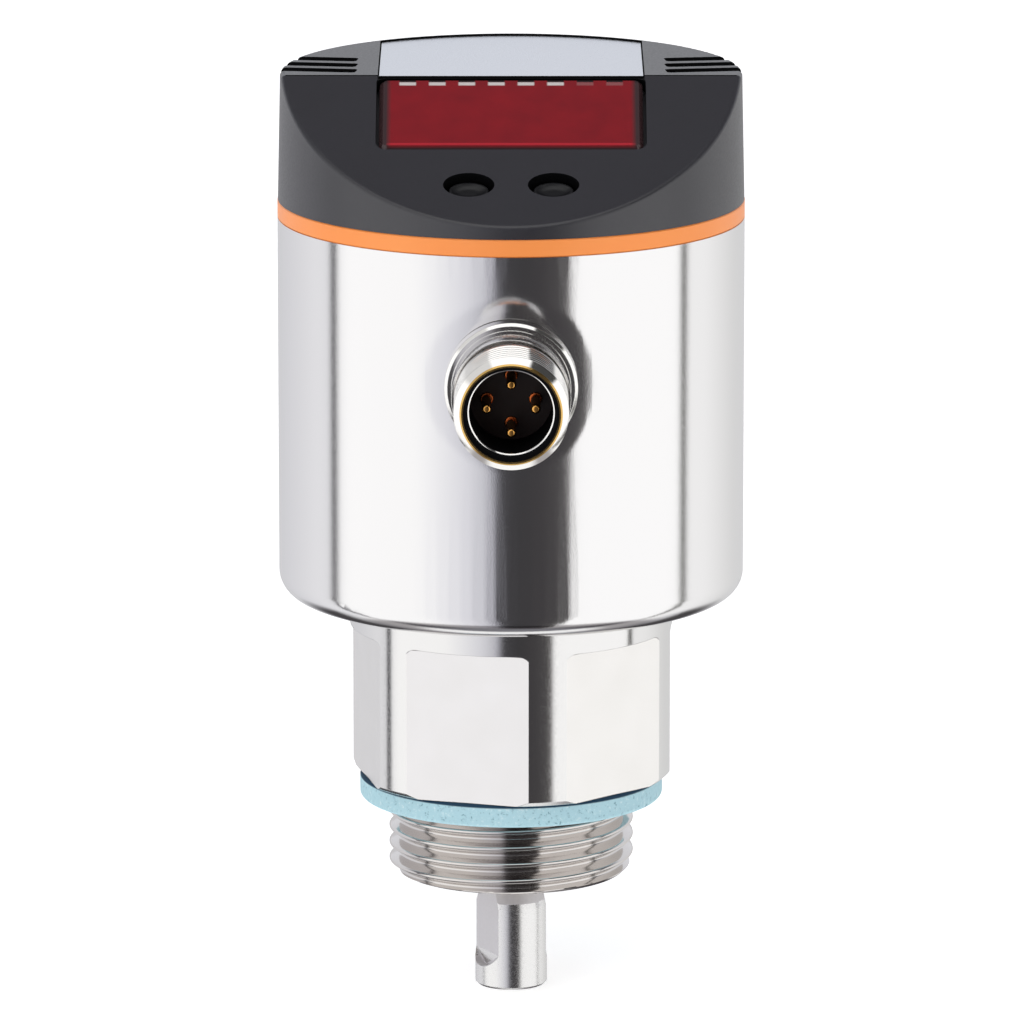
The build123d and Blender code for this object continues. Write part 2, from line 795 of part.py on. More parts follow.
# Cap: a round hood with a sloped face, hollow inside, with a spigot into the housing
cap_groove_z = spigot_end_z + cap_o_ring_height
cap_groove_floor = cap_spigot_radius - 2 * cap_o_ring_section
cap_groove_half_width = cap_o_ring_section + o_ring_side_room
with BuildPart() as cap_cavity:
    turn_outline(
        [
            (0, cap_bottom_z),
            (cap_radius - cap_wall, cap_bottom_z),
            (cap_top_radius - cap_wall, cap_top_z - cap_wall),
            (0, cap_top_z - cap_wall),
        ]
    )
    split(bisect_by=slope_at(cap_wall), keep=Keep.BOTTOM)
with BuildPart() as cap:
    turn_outline(
        [
            (0, cap_bottom_z),
            (cap_radius, cap_bottom_z),
            (cap_top_radius, cap_top_z),
            (0, cap_top_z),
        ]
    )
    split(bisect_by=slope_plane, keep=Keep.BOTTOM)
    bottom_edge = cap.edges().group_by(Axis.Z)[0]
    fillet(cap.edges() - bottom_edge, radius=cap_edge_radius)
    turn_outline(
        [
            (0, spigot_end_z),
            (cap_spigot_radius, spigot_end_z),
            (cap_spigot_radius, cap_groove_z - cap_groove_half_width),
            (cap_groove_floor, cap_groove_z - cap_groove_half_width),
            (cap_groove_floor, cap_groove_z + cap_groove_half_width),
            (cap_spigot_radius, cap_groove_z + cap_groove_half_width),
            (cap_spigot_radius, cap_bottom_z),
            (0, cap_bottom_z),
        ]
    )
    add(cap_cavity.part, mode=Mode.SUBTRACT)
    turn_outline(
        [
            (0, spigot_end_z),
            (cap_spigot_bore_radius, spigot_end_z),
            (cap_spigot_bore_radius, cap_bottom_z),
            (0, cap_bottom_z),
        ],
        mode=Mode.SUBTRACT,
    )
    # Pocket and opening for the display window
    window_middle = -window_from_crease - window_length / 2
    with BuildSketch(slope_plane) as window_pocket:
        with Locations((0, window_middle)):
            RectangleRounded(window_width, window_length, window_corner)
    extrude(amount=-window_pocket_depth, mode=Mode.SUBTRACT)
    opening_length = window_length - ledge_top - ledge_bottom
    opening_middle = -window_from_crease - ledge_top - opening_length / 2
    with BuildSketch(slope_plane) as window_opening:
        with Locations((0, opening_middle)):
            Rectangle(opening_width, opening_length)
    extrude(amount=-board_depth, mode=Mode.SUBTRACT)
    # Oval holes for the buttons
    with BuildSketch(slope_plane) as button_holes:
        with Locations((-button_x, -button_from_crease), (button_x, -button_from_crease)):
            Ellipse(button_half_width + button_gap, button_half_length + button_gap)
    extrude(amount=-board_depth, mode=Mode.SUBTRACT)
    # Shallow pocket for the plate, open to the slope
    plate_front_y = crease_y + plate_from_crease
    pocket_front_y = crease_y - 2 * plate_pocket_depth / tan(radians(cap_slope))
    with BuildSketch(Plane.XY.offset(cap_top_z)) as plate_pocket:
        Circle(plate_arc_radius + plate_gap)
        with Locations((0, pocket_front_y + cap_radius)):
            Rectangle(plate_width + 2 * plate_gap, 2 * cap_radius, mode=Mode.INTERSECT)
    extrude(amount=-plate_pocket_depth, mode=Mode.SUBTRACT)
    # Cross grooves, swept back a little, that run out through the rim
    groove_length = cap_radius
    for side in (-1, 1):
        with BuildSketch(Plane.XY.offset(cap_top_z)) as side_grooves:
            for row in range(groove_count):
                groove_y = groove_middle_y + (row - (groove_count - 1) / 2) * groove_pitch
                inner_end = Location((side * groove_inner_x, groove_y, 0), (0, 0, side * groove_splay))
                with Locations(inner_end):
                    with Locations((side * groove_length / 2, 0)):
                        RectangleRounded(groove_length, groove_width, groove_end_radius)
        extrude(amount=-groove_depth, mode=Mode.SUBTRACT)
    # Bosses for the display board's screws
    boss_places = [(-screw_x, -screw_from_crease), (screw_x, -screw_from_crease)]
    with BuildSketch(slope_at(board_depth)) as bosses:
        with Locations(*boss_places):
            Circle(boss_radius)
    extrude(amount=board_depth - cap_wall / 2)
    screw_hole_depth = screw_length + 2 * fixed_clearance - board_thickness
    with BuildSketch(slope_at(board_depth)) as boss_holes:
        with Locations(*boss_places):
            Circle(screw_radius + fixed_clearance)
    extrude(amount=screw_hole_depth, mode=Mode.SUBTRACT)
write(cap.part, "cap")

write(
    o_ring(cap_groove_floor + cap_o_ring_section + fixed_clearance, cap_o_ring_section, cap_groove_z),
    "cap_o_ring",
)

# Display window, bevelled on its outer face at the foot and the sides
with BuildPart() as display_window:
    with BuildSketch(slope_at(window_pocket_depth)):
        with Locations((0, window_middle)):
            RectangleRounded(
                window_width - 2 * window_gap,
                window_length - 2 * window_gap,
                window_corner - window_gap,
            )
    extrude(amount=window_pocket_depth - window_sunk)
    outer_face = display_window.faces().sort_by(slope_axis)[-1]
    top_edges = outer_face.edges().sort_by(Axis.Z)[-3:]
    chamfer(outer_face.edges() - top_edges, length=window_bevel)
write(display_window.part, "display_window")

# Bare plate in its pocket, cut round at the back along the cap's rim
with BuildPart() as name_plate:
    with BuildSketch(Plane.XY.offset(cap_top_z - plate_pocket_depth)):
        Circle(plate_arc_radius)
        with Locations((0, plate_front_y + cap_radius)):
            Rectangle(plate_width, 2 * cap_radius, mode=Mode.INTERSECT)
    extrude(amount=plate_thickness)
write(name_plate.part, "name_plate")

# Display board, trimmed round to the cap's bore
with BuildPart() as board_limit:
    with BuildSketch(Plane.XY.offset(spigot_end_z)):
        Circle(cap_spigot_bore_radius - board_wall_gap)
    extrude(amount=cap_top_z - spigot_end_z)
with BuildPart() as display_board:
    with BuildSketch(slope_at(board_depth)):
        with Locations((0, -board_from_crease - board_length / 2)):
            Rectangle(2 * board_half_width, board_length)
        with Locations(*boss_places):
            Circle(screw_radius + 3 * fixed_clearance, mode=Mode.SUBTRACT)
    extrude(amount=-board_thickness)
    add(board_limit.part, mode=Mode.INTERSECT)
write(display_board.part, "display_board")

# Digit display and status lamps, standing on the board close under the window
lamp_height = board_depth - window_pocket_depth - display_gap
with BuildPart() as digit_display:
    with BuildSketch(slope_at(board_depth)):
        with Locations((0, -display_from_crease - display_length / 2)):
            Rectangle(display_width, display_length)
    extrude(amount=lamp_height)
write(digit_display.part, "digit_display")

for index in range(led_count):
    led_x = (index - (led_count - 1) / 2) * led_pitch
    with BuildPart() as status_led:
        with BuildSketch(slope_at(board_depth)):
            with Locations((led_x, -led_from_crease)):
                Rectangle(led_width, led_length)
        extrude(amount=lamp_height)
    write(status_led.part, f"status_led_{index + 1}")

# Buttons, their switches and the board's screws, a left and a right one of each
flange_top_depth = cap_wall + running_clearance
flange_bottom_depth = flange_top_depth + button_flange_thickness
switch_top_depth = board_depth - switch_height
plunger_outside = switch_top_depth - flange_bottom_depth
switch_hole_depth = plunger_length - plunger_outside + button_travel + plunger_clearance
for side, side_name in ((-1, "left"), (1, "right")):
    place = (side * button_x, -button_from_crease)
    with BuildPart() as button:
        with BuildSketch(slope_at(flange_bottom_depth)) as flange_outline:
            with Locations(place):
                Ellipse(button_half_width + button_flange, button_half_length + button_flange)
        extrude(amount=button_flange_thickness)
        with BuildSketch(slope_at(flange_top_depth)) as key_outline:
            with Locations(place):
                Ellipse(button_half_width, button_half_length)
        extrude(amount=flange_top_depth - button_sunk)
        key_face = button.faces().sort_by(slope_axis)[-1]
        fillet(key_face.edges(), radius=button_edge_radius)
        # Finger dish, lofted through three ovals
        for share, inset in ((0.0, 0.0), (0.6, 0.35), (1.0, 1.0)):
            with BuildSketch(slope_at(button_sunk + share * dish_depth)):
                with Locations(place):
                    Ellipse(
                        button_half_width - dish_rim - inset * button_half_width / 2,
                        button_half_length - dish_rim - inset * button_half_length / 2,
                    )
        loft(mode=Mode.SUBTRACT)
    write(button.part, f"button_{side_name}")

    with BuildPart() as switch_plunger:
        with BuildSketch(slope_at(flange_bottom_depth)):
            with Locations(place):
                Circle(plunger_radius)
        extrude(amount=-plunger_length)
    write(switch_plunger.part, f"switch_plunger_{side_name}")

    with BuildPart() as key_switch:
        with BuildSketch(slope_at(board_depth)):
            with Locations(place):
                Rectangle(switch_width, switch_length)
        extrude(amount=switch_height)
        with BuildSketch(slope_at(switch_top_depth)) as plunger_hole:
            with Locations(place):
                Circle(plunger_radius + plunger_clearance)
        extrude(amount=-switch_hole_depth, mode=Mode.SUBTRACT)
    write(key_switch.part, f"key_switch_{side_name}")

    screw_place = (side * screw_x, -screw_from_crease)
    head_depth = board_depth + board_thickness
    with BuildPart() as display_screw:
        with BuildSketch(slope_at(head_depth)) as screw_shank:
            with Locations(screw_place):
                Circle(screw_radius)
        extrude(amount=screw_length)
        with BuildSketch(slope_at(head_depth)) as screw_head:
            with Locations(screw_place):
                Circle(screw_head_radius)
        extrude(amount=-screw_head_height)
        with BuildSketch(slope_at(head_depth + screw_head_height)) as screw_slot:
            with Locations(screw_place):
                Rectangle(3 * screw_head_radius, screw_slot_width)
        extrude(amount=screw_slot_depth, mode=Mode.SUBTRACT)
    write(display_screw.part, f"display_screw_{side_name}")

# Board carrier, a disc clamped between the housing's ledge and the cap's spigot
with BuildPart() as board_carrier:
    with BuildSketch(Plane.XY.offset(carrier_bottom_z)):
        Circle(housing_rim_radius - carrier_clearance)
        with Locations((0, main_board_y)):
            Rectangle(
                2 * (main_board_half_width + fixed_clearance),
                main_board_thickness + 2 * fixed_clearance,
                mode=Mode.SUBTRACT,
            )
        with Locations((0, lead_hole_y)):
            Circle(lead_hole_radius, mode=Mode.SUBTRACT)
    extrude(amount=carrier_thickness)
write(board_carrier.part, "board_carrier")

# Main board, hung by its shoulders in the carrier's slot
with BuildPart() as main_board:
    with BuildSketch(Plane.XZ.offset(-main_board_y)):
        with Locations((0, spigot_end_z - main_board_drop / 2)):
            Rectangle(2 * main_board_half_width, main_board_drop)
        with Locations((0, spigot_end_z + main_board_rise / 2)):
            Rectangle(2 * main_board_shoulder_half_width, main_board_rise)
    extrude(amount=main_board_thickness / 2, both=True)
write(main_board.part, "main_board")
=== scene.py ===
import math

import bmesh
import bpy
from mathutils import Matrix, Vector


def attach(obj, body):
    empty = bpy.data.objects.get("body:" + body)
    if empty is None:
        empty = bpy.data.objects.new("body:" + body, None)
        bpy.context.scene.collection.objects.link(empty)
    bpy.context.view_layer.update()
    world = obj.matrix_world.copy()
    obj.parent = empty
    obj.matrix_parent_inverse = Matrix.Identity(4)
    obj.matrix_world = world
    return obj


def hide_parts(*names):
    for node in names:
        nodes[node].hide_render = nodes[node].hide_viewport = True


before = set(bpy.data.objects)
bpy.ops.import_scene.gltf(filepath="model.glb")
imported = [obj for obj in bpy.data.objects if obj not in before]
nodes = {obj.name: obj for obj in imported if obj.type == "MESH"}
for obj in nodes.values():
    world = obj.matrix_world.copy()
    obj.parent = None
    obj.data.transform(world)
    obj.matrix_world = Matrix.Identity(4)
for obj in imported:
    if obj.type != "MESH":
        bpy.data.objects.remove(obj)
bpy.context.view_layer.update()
mm = 0.001
print("frame loaded with", len(nodes), "nodes")


# Node helpers


def linearColour(hexText):
    channels = [int(hexText[i : i + 2], 16) / 255 for i in (1, 3, 5)]
    linear = [c / 12.92 if c <= 0.04045 else ((c + 0.055) / 1.055) ** 2.4 for c in channels]
    return (*linear, 1.0)


def newMaterial(name):
    material = bpy.data.materials.new(name)
    material.use_nodes = True
    material.node_tree.nodes.clear()
    return material


def addNode(owner, kind, settings=None, values=None, links=None):
    tree = owner.node_tree
    node = tree.nodes.new(kind)
    for key, value in (settings or {}).items():
        setattr(node, key, value)
    for socket, value in (values or {}).items():
        node.inputs[socket].default_value = value
    for socket, source in (links or {}).items():
        tree.links.new(source, node.inputs[socket])
    return node


def mixed(owner, share, first, second, blend="MIX"):
    # Both colours are sockets or plain values
    settings = {"data_type": "RGBA", "blend_type": blend}
    node = addNode(owner, "ShaderNodeMix", settings, links={0: share})
    for socket, colour in ((6, first), (7, second)):
        if isinstance(colour, bpy.types.NodeSocket):
            owner.node_tree.links.new(colour, node.inputs[socket])
        else:
            node.inputs[socket].default_value = colour
    return node.outputs[2]


def toneRamp(owner, share, stops):
    # Stops are pairs of a place from 0 to 1 and a hex tone
    node = addNode(owner, "ShaderNodeValToRGB", links={0: share})
    ramp = node.color_ramp
    while len(ramp.elements) > 1:
        ramp.elements.remove(ramp.elements[-1])
    for index, (place, tone) in enumerate(stops):
        stop = ramp.elements[0] if index == 0 else ramp.elements.new(place)
        stop.position = place
        stop.color = linearColour(tone)
    return node.outputs[0]


def remap(owner, source, low, high, toLow=0.0, toHigh=1.0, kind="LINEAR"):
    return addNode(
        owner,
        "ShaderNodeMapRange",
        {"interpolation_type": kind},
        {"From Min": low, "From Max": high, "To Min": toLow, "To Max": toHigh},
        {"Value": source},
    ).outputs[0]


def product(owner, first, second):
    settings = {"operation": "MULTIPLY"}
    return addNode(owner, "ShaderNodeMath", settings, links={0: first, 1: second}).outputs[0]


def negative(owner, source):
    settings = {"operation": "MULTIPLY"}
    return addNode(owner, "ShaderNodeMath", settings, {1: -1.0}, {0: source}).outputs[0]


def band(owner, source, low, high, soften):
    # 1 between low and high, in metres, and 0 outside, with soft ends
    rise = remap(owner, source, low - soften, low + soften)
    fall = remap(owner, source, high + soften, high - soften)
    return product(owner, rise, fall)


def objectPlace(material):
    return addNode(material, "ShaderNodeTexCoord").outputs["Object"]


def partOf(owner, source, letter):
    return addNode(owner, "ShaderNodeSeparateXYZ", links={0: source}).outputs[letter]


def noise(owner, place, size, detail=2.0, roughness=0.5):
    values = {"Scale": 1 / (size * mm), "Detail": detail, "Roughness": roughness}
    return addNode(owner, "ShaderNodeTexNoise", values=values, links={"Vector": place}).outputs[0]


def bumps(owner, height, distance, normal=None):
    links = {"Height": height}
    if normal:
        links["Normal"] = normal
    values = {"Strength": 1.0, "Distance": distance * mm}
    return addNode(owner, "ShaderNodeBump", values=values, links=links).outputs[0]


def softEdges(material, radius):
    # Edges that were broken with a file catch a thin line of light
    return addNode(material, "ShaderNodeBevel", {"samples": 6}, {"Radius": radius * mm}).outputs[0]


def finishSurface(material, values, links):
    surface = addNode(material, "ShaderNodeBsdfPrincipled", values=values, links=links)
    addNode(material, "ShaderNodeOutputMaterial", links={0: surface.outputs[0]})
    return material


# Camera, floor and light

view = {
    "aim": (0, 0, 31.0),  # mm, the point on the axis that the camera looks at
    "distance": 1000.0,  # mm
    "elevation": 12.32,  # degrees above the horizon
    "lens": 326.3,
    "sensor": 36.0,
    "shiftX": 0.00083,
    "clip": (0.05, 50),
}


def addCamera():
    camera = bpy.data.objects.new("camera", bpy.data.cameras.new("camera"))
    camera.data.lens = view["lens"]
    camera.data.sensor_width = view["sensor"]
    camera.data.shift_x = view["shiftX"]
    camera.data.clip_start, camera.data.clip_end = view["clip"]
    rise = math.radians(view["elevation"])
    back = Vector((0, -math.cos(rise), math.sin(rise)))
    camera.location = (Vector(view["aim"]) + back * view["distance"]) * mm
    camera.rotation_mode = "QUATERNION"
    camera.rotation_quaternion = (-back).to_track_quat("-Z", "Y")
    bpy.context.scene.collection.objects.link(camera)
    bpy.context.scene.camera = camera


studio = {
    "brightness": 1.32,  # of the large white screens
    "backdrop": "#FEFEFE",
    # azimuth in degrees (0 in front, positive to the right) and tone of the side screens,
    # with a dark gap round the camera and a narrow dark gap on each side
    "screens": [
        (-180, "#BBBBBD"),
        (-160, "#C5C5C8"),
        (-144, "#D0D0D4"),
        (-112, "#E3E3E6"),
        (-101.5, "#E2E2E5"),
        (-99.5, "#4E4D50"),
        (-96.5, "#4E4D50"),
        (-94.8, "#F4F4F5"),
        (-88, "#FFFFFF"),
        (-48, "#FDFDFD"),
        (-39, "#F4F4F6"),
        (-22, "#DDDDE3"),
        (-12, "#C4C4CB"),
        (-8.8, "#9E9EA6"),
        (-6.6, "#66656A"),
        (-4.6, "#434245"),
        (4, "#3C3B3D"),
        (14, "#403E40"),
        (26, "#4B494A"),
        (28.5, "#6A6766"),
        (31.0, "#FFFFFF"),
        (91.5, "#FFFFFF"),
        (93, "#5A5956"),
        (96, "#5A5956"),
        (97.5, "#F3F3F3"),
        (112, "#EFEFEF"),
        (126, "#E3E3E3"),
        (142, "#D4D4D4"),
        (180, "#BBBBBD"),
    ],
    # degrees sideways from straight above and tone of the front overhead panels
    "frontPanels": [
        (-90, "#FFFFFF"),
        (-66, "#F9F9F9"),
        (-60, "#CBCBCB"),
        (-28, "#CBCBCB"),
        (-24, "#FFFFFF"),
        (24, "#FFFFFF"),
        (27, "#3F3F3F"),
        (60, "#3F3F3F"),
        (64, "#FFFFFF"),
        (90, "#FFFFFF"),
    ],
    "frontPanelFrom": 36.0,  # degrees over the piece
    "frontPanelTo": 90.0,
    "panelEdge": 3.0,
    "overheadFrom": (0.06, 0.15),  # sine of the angle over the piece
    # degrees over the piece, from the front horizon to the one behind, and tone behind the panels
    "overhead": [
        (0, "#959598"),
        (90, "#707074"),
        (128, "#707076"),
        (146, "#DBDDE2"),
        (180, "#D8DAE0"),
    ],
    # degrees under the piece, from the front horizon to the one behind, and tone of the table
    "below": [
        (0, "#F6F6F6"),
        (62, "#F6F6F6"),
        (67, "#77767B"),
        (86, "#77767B"),
        (93, "#F2F2F2"),
        (104, "#F2F2F2"),
        (116, "#C9C9CC"),
        (126, "#4A4849"),
        (150, "#38363A"),
        (166, "#8E8E94"),
        (180, "#B4B4BA"),
    ],
    "belowFrom": (0.70, 0.86),  # sine of the angle under the piece
    "belowSlant": -0.35,  # the table's light starts lower in front than behind
    "rimTone": "#A7A4A5",  # the table's rim takes this share of the light
    "rimFrom": (0.73, 0.83),  # sine of the angle under the piece
    "rimTo": (0.96, 0.90),
}


def addStudio():
    world = bpy.data.worlds.new("studio")
    world.use_nodes = True
    world.node_tree.nodes.clear()
    bpy.context.scene.world = world
    place = addNode(world, "ShaderNodeTexCoord").outputs["Generated"]
    right, up = partOf(world, place, "X"), partOf(world, place, "Z")
    front, down = negative(world, partOf(world, place, "Y")), negative(world, up)

    def angleOf(over, along):
        settings = {"operation": "ARCTAN2"}
        return addNode(world, "ShaderNodeMath", settings, links={0: over, 1: along}).outputs[0]

    def step(source, low, high):
        return remap(world, source, low, high, kind="SMOOTHSTEP")

    def tones(angle, first, last, stops):
        share = remap(world, angle, math.radians(first), math.radians(last))
        return toneRamp(world, share, [((turn - first) / (last - first), t) for turn, t in stops])

    sides = tones(angleOf(right, front), -180, 180, studio["screens"])
    sideways = tones(angleOf(right, up), -90, 90, studio["frontPanels"])
    arc = angleOf(up, front)
    behind = tones(arc, 0, 180, studio["overhead"])
    edge = math.radians(studio["panelEdge"])
    panelFrom = math.radians(studio["frontPanelFrom"])
    panelTo = math.radians(studio["frontPanelTo"])
    pastLowFront = step(arc, panelFrom - edge, panelFrom + edge)
    inPanels = product(world, pastLowFront, step(arc, panelTo + edge, panelTo - edge))
    overhead = mixed(world, inPanels, behind, sideways)
    isOverhead = product(world, pastLowFront, step(up, *studio["overheadFrom"]))
    above = mixed(world, isOverhead, sides, overhead)
    below = tones(angleOf(down, front), 0, 180, studio["below"])
    slanted = addNode(
        world,
        "ShaderNodeMath",
        {"operation": "MULTIPLY_ADD"},
        {1: studio["belowSlant"]},
        {0: front, 2: down},
    ).outputs[0]
    whole = mixed(world, step(slanted, *studio["belowFrom"]), above, below)
    inRim = product(world, step(down, *studio["rimFrom"]), step(down, *studio["rimTo"]))
    whole = mixed(world, inRim, whole, linearColour(studio["rimTone"]), "MULTIPLY")
    strength = {1: studio["brightness"]}
    lit = addNode(world, "ShaderNodeBackground", values=strength, links={0: whole})
    backdrop = {0: linearColour(studio["backdrop"]), 1: 1.0}
    plain = addNode(world, "ShaderNodeBackground", values=backdrop)
    path = addNode(world, "ShaderNodeLightPath").outputs["Is Camera Ray"]
    ends = {0: path, 1: lit.outputs[0], 2: plain.outputs[0]}
    both = addNode(world, "ShaderNodeMixShader", links=ends)
    addNode(world, "ShaderNodeOutputWorld", links={0: both.outputs[0]})


table = {
    "colour": "#FBFBFA",
    "paleColour": "#FFFFFF",
    "cloud": 30.0,  # mm
    "glow": 0.55,  # light that comes up through the table
    "z": -21.32,  # mm, the stub's end stands on it
    "halfSize": 4.0,  # m
}


def addTable():
    # Matt opal acrylic, lit from below: even, white and nearly without shadows
    opal = newMaterial("Matt opal acrylic table")
    scale = {"Scale": 1 / (table["cloud"] * mm), "Detail": 2.0}
    cloud = addNode(opal, "ShaderNodeTexNoise", values=scale).outputs[0]
    tone = mixed(opal, cloud, linearColour(table["colour"]), linearColour(table["paleColour"]))
    values = {
        "Roughness": 0.9,
        "IOR": 1.49,
        "Emission Color": linearColour("#FFFFFF"),
        "Emission Strength": table["glow"],
    }
    finishSurface(opal, values, {"Base Color": tone})
    form = bmesh.new()
    bmesh.ops.create_grid(form, x_segments=4, y_segments=4, size=table["halfSize"])
    mesh = bpy.data.meshes.new("floor")
    form.to_mesh(mesh)
    form.free()
    floor = bpy.data.objects.new("floor", mesh)
    floor.location.z = table["z"] * mm
    floor.visible_glossy = False  # the metal mirrors the screens, not the table
    mesh.materials.append(opal)
    bpy.context.scene.collection.objects.link(floor)
    bpy.context.scene.view_settings.view_transform = "Standard"
    bpy.context.scene.view_settings.look = "None"


addCamera()
addStudio()
addTable()
print("camera, floor and light are set")


# Materials

satinSteel = {
    "colour": "#DEDDDD",
    "roughness": 0.115,
    "roughnessSpread": 0.03,
    "grain": 0.16,  # mm, polishing marks, drawn coarser than the real grit so that they show
    "grainHeight": 0.0034,  # mm
}


def makeSatinSteel():
    # Drawn stainless steel cup, polished with fine grit: near-mirror streaks with a soft speckle
    material = newMaterial("Satin polished stainless steel")
    grain = noise(material, objectPlace(material), satinSteel["grain"], roughness=0.6)
    middle, spread = satinSteel["roughness"], satinSteel["roughnessSpread"]
    values = {"Base Color": linearColour(satinSteel["colour"]), "Metallic": 1.0}
    links = {
        "Roughness": remap(material, grain, 0.3, 0.7, middle - spread, middle + spread),
        "Normal": bumps(material, grain, satinSteel["grainHeight"]),
    }
    return finishSurface(material, values, links)


turning = {
    "colour": "#D8D7D6",
    "grain": 0.2,  # mm, patches of finer and coarser shine
    "alongMarks": 1050.0,  # per metre, how often a tool mark changes on its way round
}
# feed is the distance between the tool's marks in mm, markHeight and edge are in mm
turnedSteels = {
    # Sharp dark and white streaks, for the collar and the neck
    "turnedSteel": {
        "name": "Turned stainless steel",
        "roughness": 0.10,
        "feed": 0.11,
        "markHeight": 0.0012,
        "edge": 0.12,
    },
    # The brightest metal, nearly a mirror, for the plug
    "connectorSteel": {
        "name": "Fine turned stainless steel",
        "colour": "#EBE9E6",
        "roughness": 0.08,
        "feed": 0.09,
        "markHeight": 0.0006,
        "edge": 0.1,
        "axis": "Y",
    },
    # Painted shade: a little greyer and warmer all over, for the shade between the crests
    "shadedThreadSteel": {
        "name": "Cut thread in stainless steel",
        "colour": "#CECAC7",
        "roughness": 0.10,
        "feed": 0.12,
        "markHeight": 0.0007,
    },
    # Soft silvery streaks without sharp ends
    "stubSteel": {
        "name": "Fine blasted stainless bar",
        "roughness": 0.24,
        "feed": 0.12,
        "markHeight": 0.0006,
        "edge": 0.15,
    },
}


def makeTurnedSteel(name, roughness, feed, markHeight, axis="Z", edge=None, colour=None):
    # Stainless bar, turned on a lathe: sharp reflections drawn out by fine rings round the axis
    material = newMaterial(name)
    place = objectPlace(material)
    along, across = 1 / (feed * mm), turning["alongMarks"]
    stretch = (across, across, along) if axis == "Z" else (across, along, across)
    settings = {"operation": "MULTIPLY"}
    drawn = addNode(material, "ShaderNodeVectorMath", settings, {1: stretch}, {0: place})
    values = {"Scale": 1.0, "Detail": 1.0}
    links = {"Vector": drawn.outputs[0]}
    rings = addNode(material, "ShaderNodeTexNoise", values=values, links=links).outputs[0]
    grain = noise(material, place, turning["grain"])
    normal = softEdges(material, edge) if edge else None
    values = {"Base Color": linearColour(colour or turning["colour"]), "Metallic": 1.0}
    links = {
        "Roughness": remap(material, grain, 0.3, 0.7, roughness - 0.04, roughness + 0.06),
        "Normal": bumps(material, rings, markHeight, normal),
    }
    return finishSurface(material, values, links)


milledSteel = {
    "colour": "#E9E7E5",
    "cloudColour": "#E2E0DD",
    "roughness": 0.26,
    "cloud": 4.0,  # mm, soft uneven tone left by the cutter
    "grain": 0.22,  # mm
    "grainHeight": 0.0012,  # mm
    "edge": 0.12,  # mm, radius of the broken edges
    "shadeLineFrom": 18.84,  # mm, between these heights a dark line of painted shade lies under the ledge over the flats
    "shadeLineTo": 30.0,
    "shadeLineSoften": 0.04,
    "shadeLineColour": "#57504D",
}


def makeMilledSteel():
    # Milled and tumbled stainless flats: matt, pale and slightly cloudy
    material = newMaterial("Milled stainless steel")
    place = objectPlace(material)
    cloud = noise(material, place, milledSteel["cloud"], 3.0)
    grain = noise(material, place, milledSteel["grain"])
    pale, dull = linearColour(milledSteel["colour"]), linearColour(milledSteel["cloudColour"])
    # Painted shade: a dark line along the top of the flats, under the ledge
    ends = [milledSteel[key] * mm for key in ("shadeLineFrom", "shadeLineTo", "shadeLineSoften")]
    inShadeLine = band(material, partOf(material, place, "Z"), *ends)
    line = linearColour(milledSteel["shadeLineColour"])
    edges = softEdges(material, milledSteel["edge"])
    links = {
        "Base Color": mixed(material, inShadeLine, mixed(material, cloud, dull, pale), line),
        "Normal": bumps(material, grain, milledSteel["grainHeight"], edges),
    }
    return finishSurface(material, {"Metallic": 1.0, "Roughness": milledSteel["roughness"]}, links)


